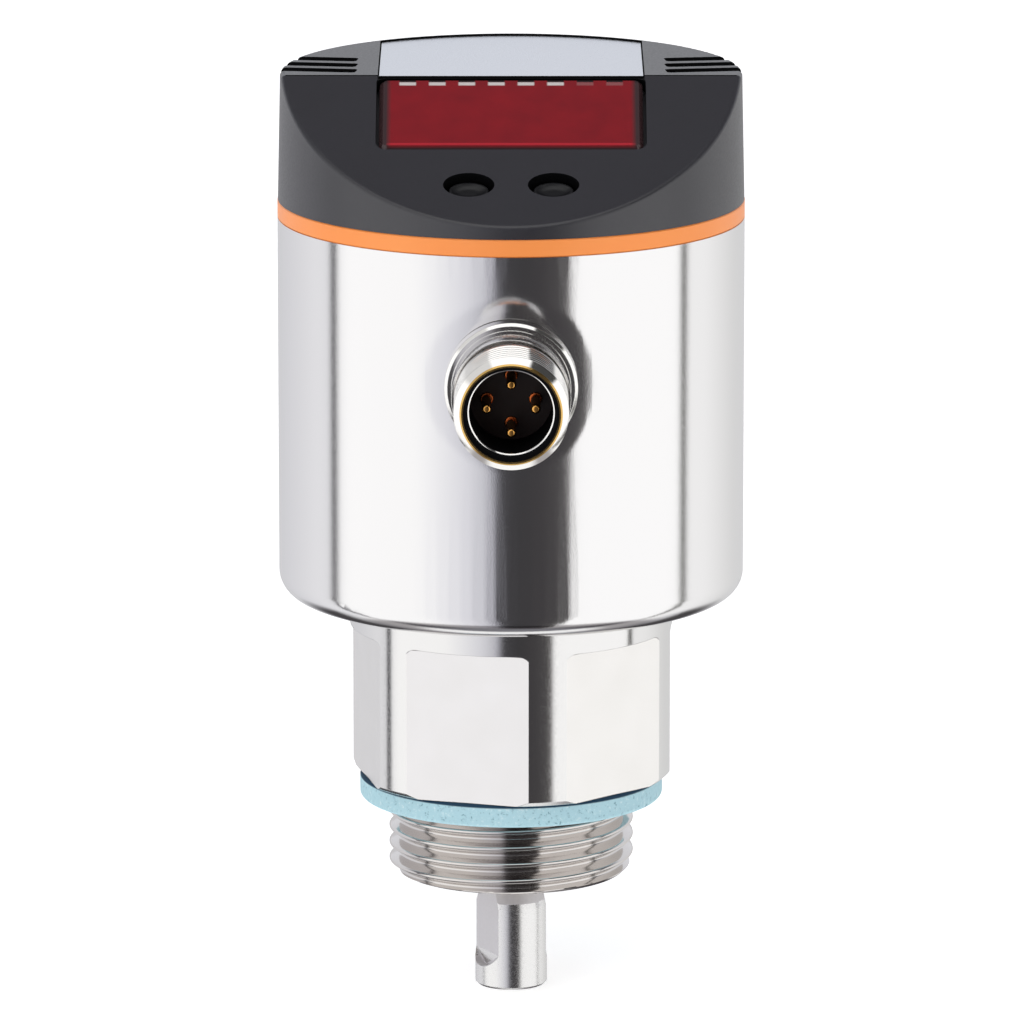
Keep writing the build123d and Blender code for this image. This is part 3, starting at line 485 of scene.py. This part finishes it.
# grain and grainHeight are in mm; shine is the share of mirror light, 0.5 unless given
plastics = {
    # Deep charcoal with a soft sheen
    "charcoal": {
        "name": "Moulded charcoal polyamide",
        "colours": ("#242329", "#28272E"),
        "roughness": 0.38,
        "grain": 0.25,
        "grainHeight": 0.006,
        "shine": 0.75,
    },
    # Painted shade: nearly black and without shine, laid on slots, wells, the plug's bore and the
    # plate's edges where shade falls
    "recess": {
        "name": "Painted shade black",
        "colours": ("#08080A", "#0B0B0D"),
        "roughness": 0.7,
        "grain": 0.25,
        "grainHeight": 0.006,
        "shine": 0.08,
    },
    # Soft black that sets the keys off from the cover
    "keyTop": {
        "name": "Black soft key polymer",
        "colours": ("#141417", "#18181B"),
        "roughness": 0.4,
        "grain": 0.25,
        "grainHeight": 0.004,
        "shine": 0.4,
    },
    # The one bright warm line between cover and housing
    "orange": {
        "name": "Moulded orange polymer",
        "colours": ("#FF9342", "#FF9C4E"),
        "roughness": 0.38,
        "grain": 0.3,
        "grainHeight": 0.003,
    },
    # Dark brown black behind the pins
    "blackInsert": {
        "name": "Black glass filled polymer",
        "colours": ("#20120F", "#281613"),
        "roughness": 0.45,
        "grain": 0.2,
        "grainHeight": 0.006,
        "shine": 0.4,
    },
    # Warm beige of an undyed insulator
    "beige": {
        "name": "Natural high temperature polymer",
        "colours": ("#C9B48D", "#D2BF9B"),
        "roughness": 0.45,
        "grain": 0.3,
        "grainHeight": 0.004,
    },
    # Waxy off-white
    "slidePolymer": {
        "name": "Natural sliding polymer",
        "colours": ("#DAD7CC", "#E2DFD5"),
        "roughness": 0.4,
        "grain": 0.3,
        "grainHeight": 0.004,
    },
    # Dull black
    "sealRubber": {
        "name": "Black seal rubber",
        "colours": ("#161616", "#1B1B1B"),
        "roughness": 0.6,
        "grain": 0.2,
        "grainHeight": 0.004,
    },
    # Glossy green lacquer
    "board": {
        "name": "Green circuit board laminate",
        "colours": ("#14472B", "#185030"),
        "roughness": 0.35,
        "grain": 0.4,
        "grainHeight": 0.004,
    },
    # Unlit grey
    "display": {
        "name": "Grey display face",
        "colours": ("#8C8280", "#938987"),
        "roughness": 0.5,
        "grain": 0.3,
        "grainHeight": 0.003,
    },
    # Milky white
    "lamp": {
        "name": "Milky lamp body",
        "colours": ("#F2EEEA", "#F7F4F0"),
        "roughness": 0.35,
        "grain": 0.3,
        "grainHeight": 0.002,
    },
    # Even black
    "switchBody": {
        "name": "Black switch body",
        "colours": ("#1A1A1C", "#202022"),
        "roughness": 0.45,
        "grain": 0.25,
        "grainHeight": 0.004,
    },
    # Creamy white
    "plunger": {
        "name": "Ivory switch plunger",
        "colours": ("#DAD7CB", "#E2DFD4"),
        "roughness": 0.4,
        "grain": 0.25,
        "grainHeight": 0.003,
    },
}
plasticDrift = 6.0  # mm, how far apart the two colours lie


def makePlastic(name, colours, roughness, grain, grainHeight, shine=0.5):
    # Moulded polymer: even colour, and a fine spark-eroded texture that breaks up its shine
    material = newMaterial(name)
    place = objectPlace(material)
    texture = noise(material, place, grain, 3.0, 0.65)
    drift = noise(material, place, plasticDrift)
    links = {
        "Base Color": mixed(material, drift, *(linearColour(colour) for colour in colours)),
        "Roughness": remap(material, texture, 0.3, 0.7, roughness - 0.05, roughness + 0.05),
        "Normal": bumps(material, texture, grainHeight),
    }
    return finishSurface(material, {"IOR": 1.5, "Specular IOR Level": shine}, links)


fibreWasher = {
    "colour": "#B0D5DF",
    "paleFleck": "#D3E8ED",
    "darkFleck": "#638E9E",
    "fleck": 0.45,  # mm
    "relief": 0.03,  # mm
    "shadeColour": "#1D3F57",
    "shadeFrom": 2.15,  # mm, from this height up the sheet takes painted shade, where the collar shades its top
    "shadeSoften": 0.06,
}


def makeFibreWasher():
    # Pressed fibre gasket sheet: pale blue, dull, with lighter and darker fibres mixed in
    material = newMaterial("Pressed fibre gasket sheet")
    place = objectPlace(material)
    flecks = noise(material, place, fibreWasher["fleck"], 4.0, 0.7)
    shades = ("darkFleck", "colour", "colour", "paleFleck")
    stops = [(at, fibreWasher[shade]) for at, shade in zip((0.30, 0.42, 0.56, 0.70), shades)]
    # Painted shade: a dark blue band along the top of the sheet, under the collar
    low = (fibreWasher["shadeFrom"] - fibreWasher["shadeSoften"]) * mm
    high = (fibreWasher["shadeFrom"] + fibreWasher["shadeSoften"]) * mm
    inShade = remap(material, partOf(material, place, "Z"), low, high)
    sheet, edge = toneRamp(material, flecks, stops), linearColour(fibreWasher["shadeColour"])
    links = {
        "Base Color": mixed(material, inShade, sheet, edge),
        "Normal": bumps(material, flecks, fibreWasher["relief"]),
    }
    return finishSurface(material, {"Roughness": 0.85, "IOR": 1.45}, links)


slope = {
    "degrees": 29.5,
    "creaseY": -3.033,  # mm, where the sloped face meets the flat top
    "topZ": 79.2,  # mm
}
redWindow = {
    "red": "#9E1822",
    "deepRed": "#84141F",
    "frame": "#433032",
    "darkBand": "#241719",
    "footLine": "#D02A38",
    "mark": "#E4DCDA",
    "faintMark": "#9C5A5C",
    "redHalfWidth": 12.95,  # mm, half the width of the red field
    "redFrom": 0.72,  # mm down the slope, where the dark band ends
    "redTo": 11.72,
    "bandFade": 0.6,
    "footLineFrom": 11.22,  # mm, the glass foot lights up in a thin line
    "footLineTo": 11.5,
    "markFrom": 1.08,  # mm down the slope
    "markTo": 1.60,
    "markPitch": 3.14,
    "markHalfWidth": 0.88,
    "markCount": 8,
    "faintMarks": (6, 7),  # counted from 0 at the left
    "soften": 0.07,  # mm, how soft the marks' edges are
    "cloud": 2.6,  # mm, uneven depth of the tint
    "roughness": 0.07,
}


def makeRedWindow():
    # Red tinted acrylic over a dark frame: deep red under gloss, with milky lamp slots near its top
    material = newMaterial("Red tinted acrylic")
    place = objectPlace(material)
    tint = {key: linearColour(redWindow[key]) for key in ("red", "deepRed", "frame", "darkBand")}
    lean = math.radians(slope["degrees"])
    down = Vector((0, -math.cos(lean), -math.sin(lean)))
    start = (Vector((0, slope["creaseY"], slope["topZ"])) * mm).dot(down)
    settings = {"operation": "DOT_PRODUCT"}
    measure = addNode(material, "ShaderNodeVectorMath", settings, {1: down}, {0: place})
    along = measure.outputs["Value"]
    across = partOf(material, place, "X")
    soften = redWindow["soften"] * mm

    def downSlope(first, last, soft):
        low = start + (redWindow[first] * mm if first else 0)
        return band(material, along, low, start + redWindow[last] * mm, soft)

    cloud = noise(material, place, redWindow["cloud"])
    red = mixed(material, cloud, tint["red"], tint["deepRed"])
    inFoot = downSlope("footLineFrom", "footLineTo", 1.5 * soften)
    red = mixed(material, inFoot, red, linearColour(redWindow["footLine"]))
    halfWidth = redWindow["redHalfWidth"] * mm
    inWidth = band(material, across, -halfWidth, halfWidth, 4 * soften)
    inField = product(material, inWidth, downSlope("redFrom", "redTo", 2 * soften))
    fadeFrom = start + redWindow["redFrom"] * mm
    pastBand = remap(material, along, fadeFrom, fadeFrom + redWindow["bandFade"] * mm)
    border = mixed(material, pastBand, tint["darkBand"], tint["frame"])
    colour = mixed(material, inField, border, red)
    inMarks = downSlope("markFrom", "markTo", soften)
    inTabs = downSlope(None, "markFrom", soften)
    reach = redWindow["markHalfWidth"] * mm
    for index in range(redWindow["markCount"]):
        middle = (index - (redWindow["markCount"] - 1) / 2) * redWindow["markPitch"] * mm
        inPlace = band(material, across, middle - reach, middle + reach, soften)
        tone = redWindow["faintMark" if index in redWindow["faintMarks"] else "mark"]
        colour = mixed(material, product(material, inPlace, inTabs), colour, tint["darkBand"])
        colour = mixed(material, product(material, inPlace, inMarks), colour, linearColour(tone))
    values = {"Roughness": redWindow["roughness"], "IOR": 1.49}
    return finishSurface(material, values, {"Base Color": colour})


# grain and grainHeight are in mm
plainMetals = {
    # Even matt silver, duller than the bar round it
    "blastedSteel": {
        "name": "Blasted stainless flat",
        "colour": "#E2E0E2",
        "roughness": 0.72,
        "grain": 0.3,
        "grainHeight": 0.004,
    },
    # Cool silver with a blurred sky in it
    "plate": {
        "name": "Satin silver foil plate",
        "colour": "#D3D6DC",
        "roughness": 0.3,
        "grain": 0.2,
        "grainHeight": 0.001,
    },
    # Dark grey with a blue cast
    "spring": {
        "name": "Blued spring steel",
        "colour": "#6C6C70",
        "roughness": 0.3,
        "grain": 0.2,
        "grainHeight": 0.002,
    },
    # Plain cool grey
    "screw": {
        "name": "Zinc plated steel",
        "colour": "#B8B9BC",
        "roughness": 0.28,
        "grain": 0.2,
        "grainHeight": 0.002,
    },
    # A thin golden line round the plug's mouth
    "heatTint": {
        "name": "Straw coloured heat tint on steel",
        "colour": "#D3AE6A",
        "roughness": 0.2,
        "grain": 0.2,
        "grainHeight": 0.001,
    },
    # Small reddish rings in the dark
    "copper": {
        "name": "Copper coloured pin ring",
        "colour": "#D0703C",
        "roughness": 0.25,
        "grain": 0.15,
        "grainHeight": 0.001,
    },
    # Bright warm points at the pins' tips
    "gold": {
        "name": "Gold plated contact",
        "colour": "#F0B25E",
        "roughness": 0.22,
        "grain": 0.15,
        "grainHeight": 0.001,
    },
}


def makePlainMetal(name, colour, roughness, grain, grainHeight):
    # Small metal part: one clean tone with a faint grain in its shine
    material = newMaterial(name)
    texture = noise(material, objectPlace(material), grain)
    links = {
        "Roughness": remap(material, texture, 0.3, 0.7, roughness - 0.04, roughness + 0.04),
        "Normal": bumps(material, texture, grainHeight),
    }
    values = {"Base Color": linearColour(colour), "Metallic": 1.0}
    return finishSurface(material, values, links)


finishes = {
    "satinSteel": makeSatinSteel(),
    "milledSteel": makeMilledSteel(),
    "fibreWasher": makeFibreWasher(),
    "redWindow": makeRedWindow(),
}
for make, family in (
    (makeTurnedSteel, turnedSteels),
    (makePlastic, plastics),
    (makePlainMetal, plainMetals),
):
    for finish, values in family.items():
        finishes[finish] = make(**values)
print("materials made:", len(finishes))


# CAD pieces that keep their own shape

dressedNodes = {
    "fibreWasher": ["sealing_washer"],
    "keyTop": ["button_left", "button_right"],
    "orange": ["trim_ring"],
    "blackInsert": ["connector_insert", "board_carrier"],
    "beige": ["probe_insulator"],
    "slidePolymer": ["slide_washer"],
    "sealRubber": ["probe_o_ring", "neck_o_ring", "insert_o_ring", "cap_o_ring"],
    "redWindow": ["display_window"],
    "spring": ["stop_ring", "retaining_ring", "stop_pin"],
    "screw": [
        "display_screw_left",
        "display_screw_right",
        "probe_washer",
        "probe_nut",
        "insulator_clamp",
    ],
    "board": ["display_board", "main_board"],
    "display": ["digit_display"],
    "lamp": [f"status_led_{i}" for i in range(1, 9)],
    "switchBody": ["key_switch_left", "key_switch_right"],
    "plunger": ["switch_plunger_left", "switch_plunger_right"],
}


def dress(mesh, finishNames):
    mesh.materials.clear()
    for finishName in finishNames:
        mesh.materials.append(finishes[finishName])


for finish, names in dressedNodes.items():
    for name in names:
        dress(nodes[name].data, [finish])
print("CAD pieces dressed")


# Copies of CAD pieces, for a second finish or a finer form


def cadCopy(node, name, keepFace=lambda face: True):
    # A copy of a CAD mesh, with the faces that a new form takes over left out
    mesh = nodes[node].data.copy()
    mesh.name = name
    form = bmesh.new()
    form.from_mesh(mesh)
    gone = [face for face in form.faces if not keepFace(face)]
    bmesh.ops.delete(form, geom=gone, context="FACES")
    form.to_mesh(mesh)
    form.free()
    piece = bpy.data.objects.new(name, mesh)
    bpy.context.scene.collection.objects.link(piece)
    return piece


def addForm(piece, form, name, finishNames):
    # Joins a new form to a piece
    bmesh.ops.remove_doubles(form, verts=form.verts, dist=1e-8)
    bmesh.ops.dissolve_degenerate(form, dist=1e-9, edges=form.edges)
    bmesh.ops.recalc_face_normals(form, faces=form.faces)
    mesh = bpy.data.meshes.new(name)
    dress(mesh, finishNames)
    form.to_mesh(mesh)
    form.free()
    part = bpy.data.objects.new(name, mesh)
    bpy.context.scene.collection.objects.link(part)
    bpy.ops.object.select_all(action="DESELECT")
    piece.select_set(True)
    part.select_set(True)
    bpy.context.view_layer.objects.active = piece
    bpy.ops.object.join()


def shadeByAngle(mesh, degrees):
    mesh.polygons.foreach_set("use_smooth", [True] * len(mesh.polygons))
    mesh.set_sharp_from_angle(angle=math.radians(degrees))


def dressCopy(node, name, body, twoFinishes, inSecond):
    # A copy of a CAD piece whose faces take one of two finishes
    piece = cadCopy(node, name)
    dress(piece.data, twoFinishes)
    for polygon in piece.data.polygons:
        polygon.material_index = 1 if inSecond(polygon) else 0
    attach(piece, body)
    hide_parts(node)


coverForm = {
    "skinReach": 24.0,  # mm from the axis, outside it lie the side wall and its edge
    "recessDepth": 1.6,  # mm under the skin, how far down the slots and wells take the painted shade
    "skinGap": 0.01,  # mm
}


def inCoverRecess(polygon):
    # Slots, plate pocket, window opening and key wells: under the skin, and not part of it; these
    # faces take the painted shade
    lean = math.radians(slope["degrees"])
    outward = Vector((0, -math.sin(lean), math.cos(lean)))
    crease = Vector((0, slope["creaseY"], slope["topZ"])) * mm
    underFlat = slope["topZ"] * mm - polygon.center.z
    underSlope = (crease - polygon.center).dot(outward)
    onTop = polygon.center.y > slope["creaseY"] * mm
    if (min(underFlat, underSlope) if onTop else underSlope) > coverForm["recessDepth"] * mm:
        return False
    around = Vector((polygon.center.x, polygon.center.y, 0))
    outFacing = polygon.normal.dot(around.normalized())
    if around.length > coverForm["skinReach"] * mm and outFacing > 0.05:
        return abs(polygon.normal.z) < 0.02 and outFacing < 0.6
    gap = coverForm["skinGap"] * mm
    onFlat = polygon.normal.z > 0.999 and underFlat < gap
    onSlope = polygon.normal.dot(outward) > 0.999 and underSlope < gap
    return not (onFlat or onSlope)


stubNotch = {
    "from": 2.3,  # mm from the axis
    "to": 3.75,
    "top": -9.0,  # mm, the notch lies under this height
}


def inStubNotch(polygon):
    # The milled notch: its floor, its round corner and its ledge
    around = Vector((polygon.center.x, polygon.center.y, 0))
    inRange = stubNotch["from"] * mm < around.length < stubNotch["to"] * mm
    onBar = polygon.normal.dot(around.normalized()) > 0.995
    isUnder = polygon.center.z < stubNotch["top"] * mm
    return inRange and isUnder and not onBar and polygon.normal.z > -0.5


def onPlateEdge(polygon):
    # Edge faces of the plate, which take the painted shade
    return polygon.normal.z < 0.5


housingSeat = {
    "centreZ": 50.0,  # mm
    "radius": 9.15,  # mm, the wall is drawn in inside it
    "flatRadius": 6.6,
    "slope": 0.096,  # a tilt of 5.5 degrees
    "blend": 0.35,  # mm
    "step": 0.5,  # mm between the points of the wall
    "reach": 11.0,  # mm, half the width of the part that gets the finer mesh
    "wallRadius": 25.0,
    "wallFrom": 24.8,
    "shadeAngle": 25,
}


def isFrontWall(face):
    centre = face.calc_center_median()
    facesFront = math.hypot(face.normal.x, face.normal.y) > 0.99 and face.normal.y < -0.75
    return facesFront and math.hypot(centre.x, centre.y) > housingSeat["wallFrom"] * mm


def seatDepth(distance):
    # Plain slope inside the seat's edge, eased at both its ends
    blend, depth = housingSeat["blend"], 0
    for edge, way in ((housingSeat["radius"], 1), (housingSeat["flatRadius"], -1)):
        past = (edge - distance) / blend
        eased = max(past, 0) if abs(past) > 1 else (past + 1) ** 2 / 4
        depth += way * housingSeat["slope"] * blend * eased
    return depth


def buildHousing():
    piece = cadCopy("housing", "housing_drawn")
    form = bmesh.new()
    form.from_mesh(piece.data)
    middle = Vector((0, 0, housingSeat["centreZ"])) * mm
    reach, step = housingSeat["reach"], housingSeat["step"]
    for normal in (Vector((1, 0, 0)), Vector((0, 0, 1))):
        for index in range(round(2 * reach / step) + 1):
            place = middle + normal * (index * step - reach) * mm
            wall = [face for face in form.faces if isFrontWall(face)]
            edges = {edge for face in wall for edge in face.edges}
            corners = {corner for face in wall for corner in face.verts}
            cut = [*wall, *edges, *corners]
            bmesh.ops.bisect_plane(form, geom=cut, dist=1e-7, plane_co=place, plane_no=normal)
    wall = [face for face in form.faces if isFrontWall(face)]
    for corner in {corner for face in wall for corner in face.verts}:
        across, height = corner.co.x / mm, corner.co.z / mm - housingSeat["centreZ"]
        if max(abs(across), abs(height)) < reach + 0.01:
            plain = math.sqrt(housingSeat["wallRadius"] ** 2 - across**2)
            corner.co.y = -(plain - seatDepth(math.hypot(across, height))) * mm
    bmesh.ops.triangulate(form, faces=wall)
    form.to_mesh(piece.data)
    form.free()
    shadeByAngle(piece.data, housingSeat["shadeAngle"])
    dress(piece.data, ["satinSteel"])
    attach(piece, "head")
    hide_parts("housing")


dressCopy(
    "probe_coupling",
    "probe_coupling_milled",
    "process_fitting",
    ("stubSteel", "blastedSteel"),
    inStubNotch,
)
# The cover's slots, pocket, window opening and key wells take the painted shade
dressCopy("cap", "cap_moulded", "head", ("charcoal", "recess"), inCoverRecess)
# The plate's edges take the painted shade, for the dark gap round it
dressCopy(
    "name_plate", "name_plate_cut", "head", ("plate", "recess"), onPlateEdge
)
buildHousing()
print("cover, plate, stub and housing copied")


# Threads, plug and pins


def threadDepth(thread, phase):
    # Depth in mm under the crest, for a phase from 0 to 1 along one pitch:
    # straight flanks, round crest and root
    lean, rounding = math.radians(thread["halfAngle"]), thread["rounding"]
    half = thread["pitch"] / 2
    cut = rounding * (1 / math.sin(lean) - 1)
    along = abs((phase + 0.5) % 1 - 0.5) * thread["pitch"]
    roundTo = rounding * math.cos(lean)
    if along < roundTo:
        return rounding - math.sqrt(rounding**2 - along**2)
    if half - along < roundTo:
        rise = math.sqrt(rounding**2 - (half - along) ** 2)
        return half / math.tan(lean) - 2 * cut - rounding + rise
    return along / math.tan(lean) - cut


def addThread(form, thread, toPoint):
    # Rows of points follow the helix, and are held at the thread's two ends
    low, high, pitch = thread["low"], thread["high"], thread["pitch"]
    steps, turns = thread["stepsPerPitch"], thread["segments"]
    firstPitch = math.floor((low - thread["phase"]) / pitch) - 2
    lastPitch = math.ceil((high - thread["phase"]) / pitch) + 1
    rows = []
    for around in range(turns + 1):
        share = around / turns
        row = []
        for step in range((lastPitch - firstPitch) * steps + 1):
            along = thread["phase"] + pitch * (firstPitch + step / steps + share)
            along = min(max(along, low), high)
            phase = (along - thread["phase"]) / pitch - share
            radius = thread["radius"] - threadDepth(thread, phase)
            if thread["leadIn"]:
                radius = min(radius, thread["radius"] - thread["leadIn"] + along - low)
            row.append(form.verts.new(toPoint(radius, share * 2 * math.pi, along)))
        rows.append(row)
    for first, second in zip(rows, rows[1:]):
        for a in range(len(first) - 1):
            form.faces.new((first[a], second[a], second[a + 1], first[a + 1]))
    return rows


def turnedSurface(form, outline, toPoint, segments, slots):
    # Turns an outline round an axis; each part of it takes its own finish
    rings = []
    for radius, along, *rest in outline:
        turns = [i / segments * 2 * math.pi for i in range(segments)]
        rings.append([form.verts.new(toPoint(radius, turn, along)) for turn in turns])
    for first, second, (*rest, finish) in zip(rings, rings[1:], outline[1:]):
        for i in range(segments):
            j = (i + 1) % segments
            face = form.faces.new((first[i], first[j], second[j], second[i]))
            face.material_index = slots.index(finish)


pipeThread = {
    "low": -8.3,
    "high": 0.1,
    "pitch": 1.814,
    "radius": 13.22,
    "halfAngle": 27.5,
    "rounding": 0.249,
    "phase": 0.95,  # mm, puts the crests where the photo shows them
    "leadIn": 0.9,  # mm, the first turn is turned down by this much
    "stepsPerPitch": 26,
    "segments": 220,
    "bore": 5.5,
    "undercut": 12.0,
    "undercutTop": 2.5,
}
collar = {
    "formTop": 2.45,  # mm, under this height and outside formReach the new thread takes over
    "formReach": 5.6,
    "flatsFrom": 2.4,  # mm, lower and upper end of the spanner flats
    "flatsTo": 19.2,
    "flatDistance": 16.0,  # mm from the axis
    "tolerance": 0.02,
    "shadeAngle": 28,
}


def upright(radius, angle, along):
    return Vector((radius * math.cos(angle), radius * math.sin(angle), along)) * mm


def closeRing(form, rows, index, radius, along):
    # A flat ring from one end of the thread to a plain circle
    turns = len(rows) - 1
    angles = [i / turns * 2 * math.pi for i in range(turns + 1)]
    circle = [form.verts.new(upright(radius, angle, along)) for angle in angles]
    for i in range(turns):
        form.faces.new((rows[i][index], circle[i], circle[i + 1], rows[i + 1][index]))
    return circle


def isCollarFlat(polygon):
    isUpright = abs(polygon.normal.z) < 0.02
    inHeight = collar["flatsFrom"] * mm < polygon.center.z < collar["flatsTo"] * mm
    past = polygon.normal.dot(polygon.center) - collar["flatDistance"] * mm
    return isUpright and inHeight and abs(past) < collar["tolerance"] * mm


def buildProcessConnection():
    def keep(face):
        centre = face.calc_center_median()
        isLow = centre.z < collar["formTop"] * mm
        return not (isLow and math.hypot(centre.x, centre.y) > collar["formReach"] * mm)

    piece = cadCopy("process_connection", "process_connection_turned", keep)
    dress(piece.data, ["turnedSteel", "milledSteel"])
    for polygon in piece.data.polygons:
        polygon.material_index = 1 if isCollarFlat(polygon) else 0
    form = bmesh.new()
    rows = addThread(form, pipeThread, upright)
    closeRing(form, rows, 0, pipeThread["bore"], pipeThread["low"])
    neck = closeRing(form, rows, -1, pipeThread["undercut"], pipeThread["high"])
    rise = Vector((0, 0, (pipeThread["undercutTop"] - pipeThread["high"]) * mm))
    top = [form.verts.new(corner.co + rise) for corner in neck]
    for i in range(len(neck) - 1):
        form.faces.new((neck[i], neck[i + 1], top[i + 1], top[i]))
    addForm(piece, form, "pipe_thread", ["shadedThreadSteel"])
    shadeByAngle(piece.data, collar["shadeAngle"])
    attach(piece, "process_fitting")
    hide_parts("process_connection")


plugThread = {
    "low": 32.6,
    "high": 39.43,
    "pitch": 1.0,
    "radius": 5.97,
    "halfAngle": 30.0,
    "rounding": 0.143,
    "phase": 0.0,
    "leadIn": None,
    "stepsPerPitch": 12,
    "segments": 144,
}
plug = {
    "centreZ": 50.0,  # mm
    # The plug's mouth and bore take the painted shade, nearly black, where shade falls inside the
    # plug
    "finishes": ["connectorSteel", "heatTint", "recess"],
    # radius and distance from the axis of the head in mm, and finish of the part that ends there
    "nose": [
        (5.97, 39.43, None),
        (5.34, 40.06, "connectorSteel"),
        (5.16, 40.20, "heatTint"),
        (4.99, 40.20, "heatTint"),
        (4.93, 40.12, "recess"),
        (4.93, 39.00, "recess"),
        (4.50, 39.00, "recess"),
        (4.35, 38.86, "connectorSteel"),
        (4.35, 21.80, "recess"),
    ],
    # mm, the parts of the CAD piece that the new form takes over
    "threadReach": 5.7,
    "boreReach": 4.36,
    "boreEnd": 21.81,
    "mouthFrom": 38.99,
    "tolerance": 0.01,
    "shadeAngle": 28,
}


def towardsPlug(radius, angle, along):
    height = plug["centreZ"] + radius * math.sin(angle)
    return Vector((radius * math.cos(angle), -along, height)) * mm


def buildConnectorBody():
    def keep(face):
        centre = face.calc_center_median() / mm
        reach, out = math.hypot(centre.x, centre.z - plug["centreZ"]), -centre.y
        low, high = plugThread["low"] - plug["tolerance"], plugThread["high"] + plug["tolerance"]
        onThread = low < out < high and reach > plug["threadReach"]
        inBore = out > plug["boreEnd"] and reach < plug["boreReach"]
        return not (onThread or inBore or out > plug["mouthFrom"])

    piece = cadCopy("connector_body", "connector_body_threaded", keep)
    dress(piece.data, plug["finishes"])
    form = bmesh.new()
    addThread(form, plugThread, towardsPlug)
    turnedSurface(form, plug["nose"], towardsPlug, plugThread["segments"], plug["finishes"])
    addForm(piece, form, "plug_thread", plug["finishes"])
    shadeByAngle(piece.data, plug["shadeAngle"])
    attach(piece, "head")
    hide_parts("connector_body")


contactPin = {
    "finishes": ["gold", "copper"],
    "count": 4,
    "circle": 2.55,  # mm, radius of the circle that the pins stand on
    "radius": 0.5,
    "tip": 37.3,
    "tipRadius": 0.002,  # closes the tip
    "rounding": 0.3,
    "roundingSteps": 8,
    "foot": 20.3,
    "ringRadius": 0.7,
    "ringFront": 31.98,
    "ringBack": 31.62,
    "ringEdge": 0.05,
    "segments": 32,
    "shadeAngle": 35,
}


def pinOutlines():
    radius, tip, rounding = contactPin["radius"], contactPin["tip"], contactPin["rounding"]
    pin = [(contactPin["tipRadius"], tip, None)]
    for step in range(contactPin["roundingSteps"] + 1):
        turn = step / contactPin["roundingSteps"] * math.pi / 2
        past = radius - rounding + rounding * math.sin(turn)
        pin.append((past, tip - rounding + rounding * math.cos(turn), "gold"))
    pin.append((radius, contactPin["foot"], "gold"))
    outer, front, edge = contactPin["ringRadius"], contactPin["ringFront"], contactPin["ringEdge"]
    ring = [
        (radius, front, None),
        (outer - edge, front, "copper"),
        (outer, front - edge, "copper"),
        (outer, contactPin["ringBack"], "copper"),
    ]
    return pin, ring


def buildPin(index):
    angle = (index - 1) * 2 * math.pi / contactPin["count"]
    across, rise = contactPin["circle"] * math.cos(angle), contactPin["circle"] * math.sin(angle)
    middle = Vector((across, 0, plug["centreZ"] + rise))

    def keep(face):
        centre = face.calc_center_median() / mm
        reach = math.hypot(centre.x - middle.x, centre.z - middle.z)
        return reach > contactPin["radius"] + 0.02 or -centre.y < contactPin["foot"] + 0.01

    def alongPin(radius, turn, along):
        return (middle + Vector((radius * math.cos(turn), -along, radius * math.sin(turn)))) * mm

    piece = cadCopy(f"contact_pin_{index}", f"contact_pin_{index}_turned", keep)
    dress(piece.data, contactPin["finishes"])
    form = bmesh.new()
    for outline in pinOutlines():
        turnedSurface(form, outline, alongPin, contactPin["segments"], contactPin["finishes"])
    addForm(piece, form, "pin_nose", contactPin["finishes"])
    shadeByAngle(piece.data, contactPin["shadeAngle"])
    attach(piece, "head")
    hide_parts(f"contact_pin_{index}")


for pinIndex in range(1, contactPin["count"] + 1):
    buildPin(pinIndex)
buildProcessConnection()
buildConnectorBody()
print("threads, plug and pins built")
